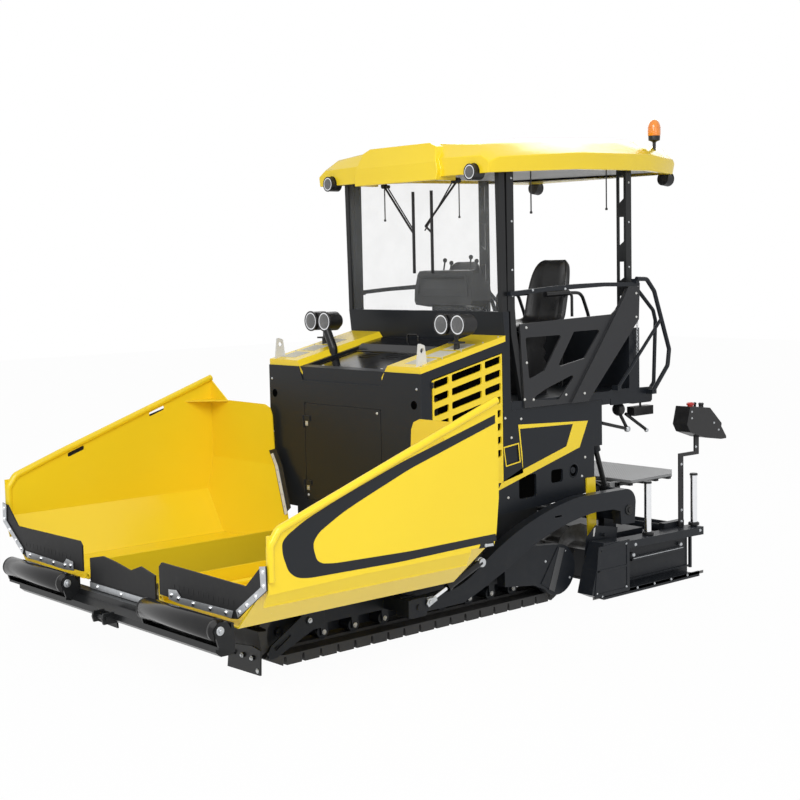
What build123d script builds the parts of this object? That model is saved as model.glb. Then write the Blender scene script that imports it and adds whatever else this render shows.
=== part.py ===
import os
from math import cos, pi, radians, sin

from build123d import *

os.makedirs("parts", exist_ok=True)

# Millimetres. X runs forward from the front bulkhead, Y to the machine's left and Z up from
# the ground. Every node is moved by DATUM_X on export, so that the origin ends up on the
# ground below the middle of the outline.
ROLLER_RADIUS = 66
ROLLER_X = 1950
FRONT_TIP = ROLLER_X + ROLLER_RADIUS
REAR_TIP = 3060
DATUM_X = (REAR_TIP - FRONT_TIP) / 2

BODY_HALF = 850  # half the basic width, over the hull's side plates
FRAME_HALF = 540  # half the width of the lower frame between the tracks
SHEET = 8
GAP = 6  # between a moving panel and its frame

# Running gear.
TRACK_Y = (FRAME_HALF + 30, BODY_HALF + 10)
PAD_HEIGHT = 55
SHOE_PITCH = 140
SHOE_SHEET = 12
CHAIN_DEPTH = 30
CHAIN_Y = (TRACK_Y[0] + 120, TRACK_Y[1] - 120)
IDLER = (1180, 205)
SPROCKET = (-1210, 225)
ROLLER_XS = (807, 549, 292, 25, -240, -494, -710, -931)
TRACK_ROLLER_Z = 130
TRACK_ROLLER_R = 45
FINAL_DRIVE = (-1222, 247)
FINAL_DRIVE_R = 185
BEAM_Y = (TRACK_Y[0] + 80, TRACK_Y[1] - 80)

# Hopper.
HINGE = (450, 470)  # wing hinge line, in Y and Z
HINGE_TUBE_R = 22
HINGE_PIN_R = 12
WING_FRONT = 1820
WING_REAR = {1: 14, -1: 34}  # the rear walls pass each other when both wings are up
WING_OUTER = 1590
HINGE_TUBES = ((206, 914), (966, 1674), (1726, 1810))
CLEARING_X = 1470
RIM_R = 24
SILL_Y = (412, 422)
SILL_TOP = 575
WING_CYLINDER_X = 1600
WING_CYLINDER_FOOT = (480, 305)
WING_CYLINDER_EYE = (820, 405)

# Hull and hood.
HULL_BOTTOM = 700
SIDE_INNER = BODY_HALF - 20  # inner face of the side plates
BAY_REAR = -795  # rear wall of the engine bay
TUNNEL_HALF = 405
TUNNEL_Z = (300, 640)
PLATFORM_Z = 1430
LID_HALF = 440
LID_HINGE = (-68, 1740)
LID_VENT_XS = (-345, -385, -425, -465)
LID_VENT_YS = ((-225, -75), (35, 190))
DOOR_Y = (-420, 434)
DOOR_Z = (770, 1477)
GRILLE_X = (-110, -775)
GRILLE_HINGE = (-111, BODY_HALF + 5.5)

# Operator's place.
SCREEN_HALF = BODY_HALF - 44
ROOF_UNDER = 3160

# Screed and tow arms.
TOW_POINT = (240, 240)
ARM_Y = (BODY_HALF + 115, BODY_HALF + 195)
LIFT_TOP = (-1720, 1380)
LIFT_EYE = (-1940, 740)
LIFT_Y = BODY_HALF - 60
SCREED_HALF = BODY_HALF
GATE_Y = (SCREED_HALF + 135, SCREED_HALF + 275)
AUGER = (-1700, 330)
AUGER_R = 165
AUGER_Y = (120, BODY_HALF - 10)
AUGER_PITCH = 260


def slab(x, y, z):
    # A box between two faces along each axis.
    (x0, x1), (y0, y1), (z0, z1) = sorted(x), sorted(y), sorted(z)
    middle = Pos((x0 + x1) / 2, (y0 + y1) / 2, (z0 + z1) / 2)
    return middle * Box(x1 - x0, y1 - y0, z1 - z0)


def outline(points, radius=0):
    face = make_face(Polyline(*points, close=True))
    return fillet(face.vertices(), radius) if radius else face


def side_plate(points, y, radius=0):
    # An outline seen from the side, in X and Z, between two faces along Y.
    y0, y1 = sorted(y)
    return Pos(0, y1, 0) * extrude(Plane.XZ * outline(points, radius), amount=y1 - y0)


def cross_plate(points, x, radius=0):
    # An outline seen from the front, in Y and Z, between two faces along X.
    x0, x1 = sorted(x)
    return Pos(x0, 0, 0) * extrude(Plane.YZ * outline(points, radius), amount=x1 - x0)


def level_plate(points, z, radius=0):
    # An outline seen from above, in X and Y, between two faces along Z.
    z0, z1 = sorted(z)
    return Pos(0, 0, z0) * extrude(outline(points, radius), amount=z1 - z0)


def bar(start, end, radius):
    along = Vector(*end) - Vector(*start)
    placed = Plane(origin=Vector(*start), z_dir=along)
    return placed * Cylinder(radius, along.length, align=(Align.CENTER, Align.CENTER, Align.MIN))


def across(x, z, radius, y):
    # A cylinder along Y.
    return bar((x, min(y), z), (x, max(y), z), radius)


def bent_tube(points, radius, bend):
    path = FilletPolyline(*points, radius=bend)
    start = Plane(origin=path @ 0, z_dir=path % 0)
    return sweep(start * Circle(radius), path=path)


def curved_plate(start, steps, y):
    # A side outline of straight runs and arcs; an arc is the pair of its middle and its end.
    edges = []
    here = start
    for step in (*steps, start):
        if isinstance(step[0], tuple):
            edges.append(ThreePointArc(here, *step))
            here = step[1]
        else:
            edges.append(Line(here, step))
            here = step
    y0, y1 = sorted(y)
    return Pos(0, y1, 0) * extrude(Plane.XZ * make_face(edges), amount=y1 - y0)


def mirrored(shape):
    return mirror(shape, about=Plane.XZ)


def both(shape):
    return shape + mirrored(shape)


def on_side(side, shape):
    return shape if side == 1 else mirrored(shape)


def seated(shape, *others):
    # The largest piece left outside the others, cut to lie on them.
    for other in others:
        shape = shape - other
    return max(shape.solids(), key=lambda solid: solid.volume)


def save(node, shape):
    export_step(Pos(DATUM_X, 0, 0) * shape, f"parts/{node}.step")


SIDES = {"left": 1, "right": -1}


# Track: a closed loop of shoes with rubber pads on a chain.
def loop_walk():
    # Corners and arcs of the pitch line, as (length, function of distance -> point, normal).
    front_r = IDLER[1] - PAD_HEIGHT
    rear_r = SPROCKET[1] - PAD_HEIGHT
    run = IDLER[0] - SPROCKET[0]
    rise = SPROCKET[1] + rear_r - IDLER[1] - front_r

    def bottom(t):
        return (IDLER[0] - run * t, PAD_HEIGHT), (0, -1)

    def rear(t):
        angle = -pi / 2 - pi * t
        out = (cos(angle), sin(angle))
        return (SPROCKET[0] + rear_r * out[0], SPROCKET[1] + rear_r * out[1]), out

    def top(t):
        return (SPROCKET[0] + run * t, SPROCKET[1] + rear_r - rise * t), (0, 1)

    def front(t):
        angle = pi / 2 - pi * t
        out = (cos(angle), sin(angle))
        return (IDLER[0] + front_r * out[0], IDLER[1] + front_r * out[1]), out

    return ((run, bottom), (pi * rear_r, rear), (run, top), (pi * front_r, front))


def on_loop(distance, offset):
    for length, place in loop_walk():
        if distance <= length:
            (x, z), (nx, nz) = place(distance / length)
            return x + nx * offset, z + nz * offset
        distance -= length
    return on_loop(distance, offset)


def smooth_loop(offset, steps=8):
    points = []
    for (x, z), first in ((SPROCKET, -90), (IDLER, 90)):
        radius = z - PAD_HEIGHT + offset
        for step in range(steps + 1):
            angle = radians(first - 180 * step / steps)
            points.append((x + radius * cos(angle), z + radius * sin(angle)))
    return points


def track_loop():
    total = sum(length for length, _ in loop_walk())
    count = round(total / SHOE_PITCH)
    pitch = total / count
    shoe = pitch - 14
    points = []
    for index in range(count):
        start = index * pitch + 7
        for along, height in ((0, 0), (6, PAD_HEIGHT), (shoe - 6, PAD_HEIGHT), (shoe, 0)):
            points.append(on_loop(start + along, height))
    shoes = side_plate(points, TRACK_Y) - side_plate(smooth_loop(-SHOE_SHEET), TRACK_Y)
    chain = side_plate(smooth_loop(-SHOE_SHEET + 4), CHAIN_Y)
    chain -= side_plate(smooth_loop(-CHAIN_DEPTH), CHAIN_Y)
    return shoes + chain


def track_frame():
    wheel_y = (CHAIN_Y[0] - 14, CHAIN_Y[1] + 14)
    idler_r = IDLER[1] - PAD_HEIGHT - CHAIN_DEPTH - 4
    sprocket_r = SPROCKET[1] - PAD_HEIGHT - CHAIN_DEPTH - 4
    beam = side_plate(((-1060, 190), (960, 190), (1010, 230), (1010, 270), (920, 298), (-1060, 298)), BEAM_Y)
    nose = ((900, 200), (1150, 110), (1265, 130), (1290, 190), (1240, 270), (1032, 290), (900, 290))
    fork = side_plate(nose, (BEAM_Y[0], BEAM_Y[0] + 30)) + side_plate(nose, (BEAM_Y[1] - 20, BEAM_Y[1]))
    guard = side_plate(((-1000, 95), (930, 95), (960, 195), (-1000, 195)), (BEAM_Y[0], BEAM_Y[0] + 14))
    frame = beam + fork + guard
    frame -= slab((1030, 1400), (BEAM_Y[0] + 30, BEAM_Y[1] - 20), (0, 400))
    for x in (680, -720):
        frame += slab((x - 80, x + 80), (FRAME_HALF, BEAM_Y[0]), (195, 290))
    frame += across(*IDLER, idler_r, wheel_y)
    frame += across(*IDLER, 26, (BEAM_Y[0] - 8, BEAM_Y[1] + 28))
    frame += across(*SPROCKET, sprocket_r, wheel_y)
    frame += across(*SPROCKET, 95, (BEAM_Y[0], TRACK_Y[1] + 8))
    bracket = ((-1220, 190), (-1000, 190), (-1000, 298), (-1220, 298))
    frame += side_plate(bracket, (BEAM_Y[0], BEAM_Y[0] + 35))
    for x in ROLLER_XS:
        frame += across(x, TRACK_ROLLER_Z, TRACK_ROLLER_R, (BEAM_Y[0] + 14, BEAM_Y[1] - 14))
        leg = ((x - 20, 110), (x + 20, 110), (x + 30, 200), (x - 30, 200))
        frame += side_plate(leg, (BEAM_Y[0], BEAM_Y[0] + 14)) + side_plate(leg, (BEAM_Y[1] - 14, BEAM_Y[1]))
    outboard = TRACK_Y[1] + 8
    x, z = FINAL_DRIVE
    cover = side_plate((
        (-680, 205), (-676, 412), (-979, 456), (x, z + FINAL_DRIVE_R), (x, z - FINAL_DRIVE_R), (-974, 169),
    ), (outboard, outboard + 77))
    cover += across(x, z, FINAL_DRIVE_R, (outboard, outboard + 77))
    cover += side_plate(((x, 415), (-1310, 390), (-1121, 126), (-1043, 169)), (outboard + 77, outboard + 84))
    frame += cover
    nose_plate = side_plate((
        (880, 195), (880, 322), (909, 338), (1032, 310), (1300, 150), (1325, 110), (1312, 66), (1260, 70),
        (1170, 110), (969, 195),
    ), (outboard, outboard + 14))
    slot = ((1140, 190), (1165, 200), (1285, 135), (1265, 112))
    nose_plate -= side_plate(slot, (outboard - 10, outboard + 30), radius=8)
    frame += nose_plate + slab((890, 1000), (BEAM_Y[1] - 5, outboard), (200, 288))
    frame += across(1003, 260, 24, (outboard, outboard + 24))
    for y in ((ARM_Y[0] - 21, ARM_Y[0] - GAP), (ARM_Y[1] + GAP, ARM_Y[1] + 21)):
        frame += side_plate(((170, 175), (318, 175), (318, 300), (170, 300)), y, radius=20)
    frame += slab((180, 300), (BEAM_Y[1] - 5, ARM_Y[0] - 20), (195, 285))
    frame += slab((302, 330), (ARM_Y[0] - 21, ARM_Y[1] + 21), (180, 295))
    frame += across(*TOW_POINT, 20, (ARM_Y[0] - 21, ARM_Y[1] + 30))
    return frame


# Hull: side plates, engine bay, tunnel for the conveyor and the lower frame.
HULL_SIDE = (
    (-8, HULL_BOTTOM), (-8, 1744), (-813, 1921), (-790, 2130), (-850, 2130), (-860, PLATFORM_Z),
    (-1830, PLATFORM_Z), (-1830, 1090), (-1740, 1090), (-1738, 756), (-1229, 713), (-720, 700),
)


def hull():
    # The floor of the engine bay, the closed body behind it and the lower frame round the tunnel.
    core = side_plate(HULL_SIDE, (-SIDE_INNER, SIDE_INNER))
    floor_z = HULL_BOTTOM + 30
    core -= slab((0, BAY_REAR), (-BODY_HALF, BODY_HALF), (floor_z, 2000))
    core += slab((-1440, -8), (-FRAME_HALF, FRAME_HALF), (170, HULL_BOTTOM + 10))
    core -= slab((-1900, 100), (-TUNNEL_HALF, TUNNEL_HALF), TUNNEL_Z)
    core -= both(slab((-1900, -1620), (LIFT_Y - 55, BODY_HALF), (700, PLATFORM_Z - 6)))
    ear = ((-1680, 1428), (-1760, 1428), (-1750, 1370), (-1690, 1370))
    lug = side_plate(ear, (LIFT_Y - 58, LIFT_Y - 46)) + side_plate(ear, (LIFT_Y + 32, SIDE_INNER))
    lug += across(*LIFT_TOP, 15, (LIFT_Y - 58, SIDE_INNER))
    return core - hood_rails() + both(lug)


def hood_frame():
    # The front wall of the engine bay and the sheets beside the lid.
    frame = side_plate((
        (-8, HULL_BOTTOM + 30), (-8, 1744), (BAY_REAR, 1917), (BAY_REAR, 1890), (-30, 1722),
        (-30, HULL_BOTTOM + 30),
    ), (-SIDE_INNER, SIDE_INNER))
    frame -= slab((-60, -780), (-LID_HALF - GAP, LID_HALF + GAP), (1600, 2000))
    x, z = LID_HINGE
    for middle in (-220, 220):
        for y in ((middle - 60, middle - 21.5), (middle + 21.5, middle + 60)):
            frame += across(x, z, 6, y) + slab((x, -59), y, (z - 3, z + 6))
    return frame - hood_rails()


def hull_sides():
    plate = side_plate(HULL_SIDE, (SIDE_INNER, BODY_HALF))
    x0, x1 = GRILLE_X[0] + GAP, GRILLE_X[1] - GAP
    through = (SIDE_INNER - 10, BODY_HALF + 10)
    plate -= side_plate(((x0, 920), (x0, 1700), (x1, 1845), (x1, 920)), through)
    plate -= side_plate(((-930, 786), (-930, 955), (-1110, 955), (-1110, 786)), through, radius=22)
    plate -= side_plate(((-1266, 863), (-1266, 960), (-1392, 960), (-1392, 863)), through, radius=22)
    plate -= across(-1510, 932, 55, through)
    latch = ((-784, 1171), (-926, 1186), (-941, 1060), (-806, 1041))
    plate -= side_plate(latch, (BODY_HALF - 8, BODY_HALF + 10), radius=14)
    for z in (1062, 1662):
        x, y = GRILLE_HINGE
        plate += bar((x, y, z - 20.5), (x, y, z + 20), 5)
        plate += slab((x, x + 13), (y - 4.5, y + 3), (z - 20.5, z + 20))
        plate += slab((x + 8, x + 13), (y - 7, y + 3), (z - 20.5, z + 20))
    return both(plate - hood_rails())


def front_frame():
    # Sills beside the conveyor, its floor and the lugs of the wing hinges.
    floor = slab((-8, 1790), (-SILL_Y[1], SILL_Y[1]), (TUNNEL_Z[0] - 25, TUNNEL_Z[0]))
    edge = ((4, 275), (4, 505), (170, 505), (240, SILL_TOP), (1800, SILL_TOP), (1800, 275))
    sill = side_plate(edge, SILL_Y)
    frame = floor + both(sill)
    for x in (180, 940, 1700):
        lug = bar((x - 20, *HINGE), (x + 20, *HINGE), HINGE_TUBE_R + 2)
        lug += slab((x - 20, x + 20), (SILL_Y[1], HINGE[0]), (HINGE[1] - 22, HINGE[1] + 22))
        frame += both(lug)
    pin = bar((160, *HINGE), (1720, *HINGE), HINGE_PIN_R)
    frame += both(pin)
    for x in (WING_CYLINDER_X - 52, WING_CYLINDER_X + 40):
        foot = cross_plate(((420, 262), (520, 262), (520, 330), (480, 345), (420, 345)), (x, x + 12))
        frame += both(foot)
    y, z = WING_CYLINDER_FOOT
    frame += both(bar((WING_CYLINDER_X - 42, y, z), (WING_CYLINDER_X + 42, y, z), 12))
    frame += slab((1500, 1800), (-430, 430), (240, 276))
    return frame


def front_panel():
    panel = slab((-8, 0), (-BODY_HALF, BODY_HALF), (300, 1744))
    panel -= slab((-20, 20), (-SILL_Y[1], SILL_Y[1]), (200, TUNNEL_Z[1]))
    panel -= both(slab((-20, 20), (FRAME_HALF, BODY_HALF + 10), (0, HULL_BOTTOM)))
    panel -= cross_plate(((-441, 1645), (-511, 1800), (511, 1800), (441, 1645)), (-20, 20))
    panel -= slab((-20, 20), (DOOR_Y[0] - GAP, DOOR_Y[1] + GAP), (DOOR_Z[0] - GAP, DOOR_Z[1] + GAP))
    for y in (BODY_HALF - 65, 65 - BODY_HALF):
        panel -= bar((-20, y, 1532), (20, y, 1532), 26)
    for z in (866, 1342):
        panel += bar((6, DOOR_Y[0] - 14, z - 45), (6, DOOR_Y[0] - 14, z - 2), 6)
    return panel


def service_door():
    y0, y1 = DOOR_Y
    z0, z1 = DOOR_Z
    door = cross_plate(((y0, z0), (y1, z0), (y1, z1), (y0, z1)), (-8, 0), radius=18)
    for z in (866, 1342):
        door += bar((8, y0 - 14, z + 2), (8, y0 - 14, z + 45), 6)
        door += slab((2, 7), (y0 - 14, y0 + 60), (z + 5, z + 42))
        door += slab((0, 3), (y0 + 12, y0 + 60), (z + 5, z + 42))
    return door


def hood_rails():
    # The yellow rails on either side of the hood, sloping in to the lid.
    front, rear = (-8, 1744), (-812, 1921)
    section = ((BODY_HALF, 0), (BODY_HALF, 42), (510, 42), (446, -40), (446, -60), (500, -12))
    ends = [
        Plane(origin=(x, 0, z), x_dir=(0, 1, 0), z_dir=(1, 0, 0)) * outline(section)
        for x, z in (front, rear)
    ]
    rail = loft(ends, ruled=True)
    return both(rail)


def hood_lid():
    # The engine cover: a low front part with two groups of vents, and the raised deck behind.
    lid = side_plate((
        (-74, 1716), (-74, 1738), (-522, 1838), (-570, 1884), (-770, 1922), (-770, 1850),
    ), (-LID_HALF, LID_HALF))
    for x in LID_VENT_XS:
        for y in LID_VENT_YS:
            lid -= level_plate(((x, y[0]), (x, y[1]), (x - 24, y[1]), (x - 24, y[0])), (1600, 2000))
    lid += bent_tube(((-700, -60, 1900), (-700, -60, 1955), (-700, 60, 1955), (-700, 60, 1900)), 7, 20)
    for y in (-220, 220):
        lid += bar((LID_HINGE[0], y - 20, LID_HINGE[1]), (LID_HINGE[0], y + 20, LID_HINGE[1]), 6)
    return lid


def grille_door(side):
    x0, x1 = GRILLE_X
    slope = (1845 - 1700) / (x0 - x1)

    def top_at(x):
        return 1692 + (x0 - x) * slope

    edge = ((x0, 926), (x0, top_at(x0)), (x1, top_at(x1)), (x1, 926))
    face = side_plate(edge, (BODY_HALF - 14, BODY_HALF))
    columns = ((-124, -262), (-290, -576), (-606, -762))
    for front, rear in columns:
        for row in range(8):
            drop = 62 + row * 94
            face -= side_plate((
                (front, top_at(front) - drop + 52), (rear, top_at(rear) - drop + 52),
                (rear, top_at(rear) - drop), (front, top_at(front) - drop),
            ), (BODY_HALF - 30, BODY_HALF + 10), radius=14)
    x, y = GRILLE_HINGE
    for z in (960, 1560):
        face += bar((x, y, z), (x, y, z + 80), 5) + slab((x - 5, x + 1), (BODY_HALF - 1, y), (z, z + 80))
    return on_side(side, face)


def engine_block():
    block = slab((-120, -700), (-260, 260), (760, 1500))
    block += slab((-60, -120), (-330, 330), (820, 1560))
    block += slab((-250, -650), (-160, 160), (1500, 1600))
    return block + slab((-200, -700), (-300, 300), (730, 765))


def conveyor():
    # Two strands of slats on roller chains over the tunnel floor.
    deck_top = TUNNEL_Z[0] + 28
    deck = slab((-1440, 1760), (-TUNNEL_HALF, TUNNEL_HALF), (TUNNEL_Z[0], deck_top))
    for x in range(-1400, 1750, 180):
        for y in (-200, 200):
            deck += slab((x, x + 40), (y - 185, y + 185), (deck_top, deck_top + 26))
    return deck


def push_beam():
    beam = side_plate((
        (1800, 262), (1890, 262), (1925, 290), (1925, 330), (1870, 360), (1870, 398), (1800, 398),
    ), (-1210, 1210))
    for side in (1, -1):
        for y in (480, 1290):
            beam += side_plate((
                (1850, 300), (1960, 345), (1990, 440), (1950, 486), (1900, 486), (1850, 400),
            ), (side * y - 7, side * y + 7))
        beam += side_plate((
            (1850, 300), (1960, 330), (1960, 345), (1868, 330), (1868, 470), (1850, 470),
        ), (side * 480, side * 1290))
    for y in (-60, 60):
        beam += side_plate(((1900, 265), (1995, 265), (2005, 300), (1995, 335), (1900, 335)), (y - 8, y + 8))
    beam += bar((1972, -78, 300), (1972, 78, 300), 14)
    return beam


def push_roller(side):
    roller = across(ROLLER_X, 440, ROLLER_RADIUS, (495, 1275))
    roller += across(ROLLER_X, 440, 22, (488.5, 1281.5))
    return on_side(side, roller)


def clearing_plates():
    x = CLEARING_X
    plate = cross_plate(((665, 20), (1010, 26), (1018, 182), (930, 196), (690, 170)), (x, x + 12))
    plate += slab((x - 10, x + 12), (SILL_Y[1], 700), (110, 168))
    plate += slab((x - 10, x + 12), (SILL_Y[1], 450), (110, 300))
    for y in (740, 840, 940):
        plate += bar((x + 10, y, 125), (x + 22, y, 125), 16)
    return both(plate)


RIM_SLOPE = 0.3427
SKIRT_BOTTOM = 668
LIP_BOTTOM = 592


def hopper_wing(side):
    rear = WING_REAR[side]
    inner = HINGE[0] + 32
    lining = WING_OUTER - SHEET  # inner face of the side wall
    section = ((inner, 450), (1290, 428), (WING_OUTER, 735), (WING_OUTER, 1700), (inner, 1700))
    hollow = ((0, 458), (1286, 437), (lining, 738), (lining, 1800), (0, 1800))
    profile = ((rear, 1618), (rear, 990), (rear + 130, 400), (WING_FRONT, 400), (WING_FRONT, 960),
               (1740, 1025), (1378, 1149))
    inside = (
        (rear + SHEET, 1900), (rear + SHEET, 992), (rear + 130 + SHEET, 400), (2000, 400), (2000, 1900),
    )
    wing = cross_plate(section, (0, WING_FRONT)) & side_plate(profile, (0, 2000))
    wing -= cross_plate(hollow, (0, 2000)) & side_plate(inside, (-100, 2000))
    wing -= cross_plate((
        (0, 560), (470, 560), (524, 667), (758, 1105), (776, 1370), (800, 1420), (860, 1445), (1360, 1448),
        (lining, 1600), (lining, 1900), (0, 1900),
    ), (-10, 200))
    # The skirt below the side wall, its folded lip, and the shelf in the rear top corner.
    skirt = (
        (rear, 1000), (rear + 25, 774), (rear + 46, SKIRT_BOTTOM + 35), (WING_FRONT, SKIRT_BOTTOM), (WING_FRONT, 1000),
    )
    wing += side_plate(skirt, (lining, WING_OUTER))
    wing += cross_plate((
        (WING_OUTER, SKIRT_BOTTOM + 32), (WING_OUTER - 48, LIP_BOTTOM + 14), (WING_OUTER - 48, LIP_BOTTOM),
        (WING_OUTER - 40, LIP_BOTTOM), (WING_OUTER - 40, LIP_BOTTOM + 10), (WING_OUTER, SKIRT_BOTTOM + 14),
    ), (rear + 250, WING_FRONT))
    wing += level_plate(((rear, 1327), (rear, WING_OUTER), (292, WING_OUTER)), (1440, 1448))

    def rim_at(x):
        return 1614 - (x - rear) * RIM_SLOPE

    for x in (1248, 546):
        high, low = rim_at(x - 68) - 34, rim_at(x + 68) - 34
        slot = ((x - 68, high), (x + 68, low), (x + 68, low - 32), (x - 68, high - 32))
        wing -= side_plate(slot, (lining - 30, WING_OUTER + 30), radius=10)
    centre = WING_OUTER - 6
    wing += bent_tube((
        (rear + 4, centre, rim_at(rear)), (1378, centre, rim_at(1378)), (1738, centre, 1022),
        (WING_FRONT - 24, centre, 940), (WING_FRONT - 24, centre, 740),
    ), RIM_R, 60)
    for x0, x1 in HINGE_TUBES:
        wing += bar((x0, *HINGE), (x1, *HINGE), HINGE_TUBE_R)
        wing += slab((x0, x1), (HINGE[0] + 4, HINGE[0] + 40), (HINGE[1] - 20, HINGE[1] - 12))
    wing -= bar((100, *HINGE), (1900, *HINGE), HINGE_PIN_R + 1)
    for x in (WING_CYLINDER_X - 42, WING_CYLINDER_X + 30):
        wing += cross_plate(((770, 392), (870, 392), (880, 444), (760, 447)), (x, x + 12))
    return on_side(side, wing)


def wing_apron(side):
    # The rubber sheet across the wing's front edge and the steel strips that clamp it.
    sheet = cross_plate((
        (475, 500), (475, 672), (505, 700), (1390, 690), (1540, 824), (1576, 824), (1562, 690), (1300, 488),
        (1238, 480),
    ), (WING_FRONT, WING_FRONT + 12))
    strip_x = (WING_FRONT + 12, WING_FRONT + 18)
    sheet += cross_plate((
        (590, 489), (590, 550), (678, 559), (720, 520), (1270, 532), (1250, 487), (718, 480),
    ), strip_x)
    sheet += cross_plate((
        (1540, 826), (1600, 836), (1602, 700), (1316, 500), (1300, 540), (1548, 712),
    ), strip_x)
    return on_side(side, sheet)


def centre_apron():
    sheet = cross_plate((
        (-400, 417), (400, 417), (400, 600), (341, 612), (234, 634), (108, 590), (-72, 618), (-234, 634),
        (-341, 612), (-400, 600),
    ), (1806, 1818))
    return sheet + slab((1803, 1824), (-400, 400), (398, 446))


def wing_cylinder(side):
    y, z = WING_CYLINDER_FOOT
    ey, ez = WING_CYLINDER_EYE
    along = Vector(0, ey - y, ez - z).normalized()
    start = Vector(WING_CYLINDER_X, y, z)
    barrel = bar(start - along * 10, start + along * 270, 34)
    barrel += bar((WING_CYLINDER_X - 26, y, z), (WING_CYLINDER_X + 26, y, z), 30)
    barrel -= bar(start + along * 60, start + along * 290, 16.5)
    barrel -= bar((WING_CYLINDER_X - 40, y, z), (WING_CYLINDER_X + 40, y, z), 13)
    return on_side(side, barrel)


def wing_rod(side):
    y, z = WING_CYLINDER_FOOT
    ey, ez = WING_CYLINDER_EYE
    eye = Vector(WING_CYLINDER_X, ey, ez)
    along = Vector(0, ey - y, ez - z).normalized()
    length = Vector(0, ey - y, ez - z).length
    rod = bar(eye - along * (length - 75), eye, 16)
    rod += bar((WING_CYLINDER_X - 20, ey, ez), (WING_CYLINDER_X + 20, ey, ez), 22)
    rod -= bar((WING_CYLINDER_X - 40, ey, ez), (WING_CYLINDER_X + 40, ey, ez), 12)
    return on_side(side, rod)


# Operator's platform.
DECK_TOP = 1490
CABINET_X = (-2150, -2270)
CABINET_TOP = 1955
PANEL_Y = (BODY_HALF, BODY_HALF + 14)
BRACE_Y = (BODY_HALF, BODY_HALF + 34)
TUBE_R = 17
PANEL_WINDOWS = (
    ((-1000, 1940), (-1385, 1942), (-1197, 1692), (-1033, 1640)),
    ((-1511, 1959), (-1814, 1963), (-1626, 1757), (-1329, 1708)),
    ((-1040, 1490), (-1204, 1560), (-1543, 1658), (-1343, 1471)),
)
POST_Y = (BODY_HALF - 34, BODY_HALF)
REAR_POST_X = (-2182, -2245)
REAR_POST_Y = (BODY_HALF - 145, BODY_HALF - 50)
POST_WINDOWS = (  # low, high and slant of the sill
    (2030, 2200, 0), (2310, 2460, 30), (2580, 2800, 35), (2900, 3110, 40),
)
# x; half widths at lip, crease and shoulder; heights of lip, crease, shoulder and crown over ROOF_UNDER
ROOF_SECTIONS = (
    (-590, 925, 935, 860, -75, 0, 45, 55),
    (-680, 930, 950, 800, -70, 35, 125, 158),
    (-1500, 935, 955, 780, -28, 90, 185, 232),
    (-2300, 930, 950, 780, -17, 102, 212, 268),
    (-2740, 790, 812, 690, -24, 85, 182, 236),
    (-2785, 770, 790, 680, -22, 60, 150, 196),
)
CORNER_LAMP = (-600, BODY_HALF - 68, ROOF_UNDER - 62)
LAMP_R = 55
FLOODLIGHT = (-440, BODY_HALF - 115, 2055)
FLOOD_R = 72
FLOOD_PITCH = 165
SEAT_Y = (290, 670)
CONSOLE_Y = (-150, 470)
SEAT_SHIFT = 200  # from the seats' rear stop forward to where the operator drives


def seat_front(y0, y1):
    # The seat seen from the front, narrower towards the top of the back.
    return cross_plate((
        (y0, 1900), (y1, 1900), (y1, 2250), (y1 - 30, 2400), (y1 - 110, 2495), (y0 + 110, 2495), (y0 + 30, 2400),
        (y0, 2250),
    ), (-2020, -1300), radius=18)


def platform():
    floor = slab((-862, CABINET_X[0]), (-BODY_HALF, BODY_HALF), (PLATFORM_Z + 2, DECK_TOP))
    floor += slab(CABINET_X, (-BODY_HALF, BODY_HALF), (PLATFORM_Z + 2, CABINET_TOP))
    floor += slab((-1832, -2360), (-700, 700), (1400, PLATFORM_Z + 10))
    edge = ((-1925, 1500), (-2426, 1490), (-2420, 1381), (-1935, 1381))
    bracket = side_plate(edge, (BODY_HALF - 14, BODY_HALF), radius=12)
    bracket += slab((-1835, -1925), (BODY_HALF - 90, BODY_HALF), (1392, PLATFORM_Z + 10))
    bracket += slab((-2200, -2420), (BODY_HALF - 160, BODY_HALF - 10), (1372, 1400))
    return floor + both(bracket)


def side_panels():
    # The cut-out plate beside the operators and the wide slanted brace behind it.
    plate = side_plate((
        (-947, 2037), (-1334, 2051), (-1938, 2070), (-2060, 2150), (-1620, PLATFORM_Z + 8),
        (-987, PLATFORM_Z + 8),
    ), PANEL_Y)
    for window in PANEL_WINDOWS:
        plate -= side_plate(window, (BODY_HALF - 20, BODY_HALF + 60), radius=16)
    brace = side_plate((
        (-1459, PLATFORM_Z + 8), (-1800, 1864), (-2045, 2177), (-2110, 2273), (-2239, 2273), (-2227, 2021),
        (-1725, 1523), (-1640, PLATFORM_Z + 8),
    ), BRACE_Y)
    return both(plate + brace)


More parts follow.
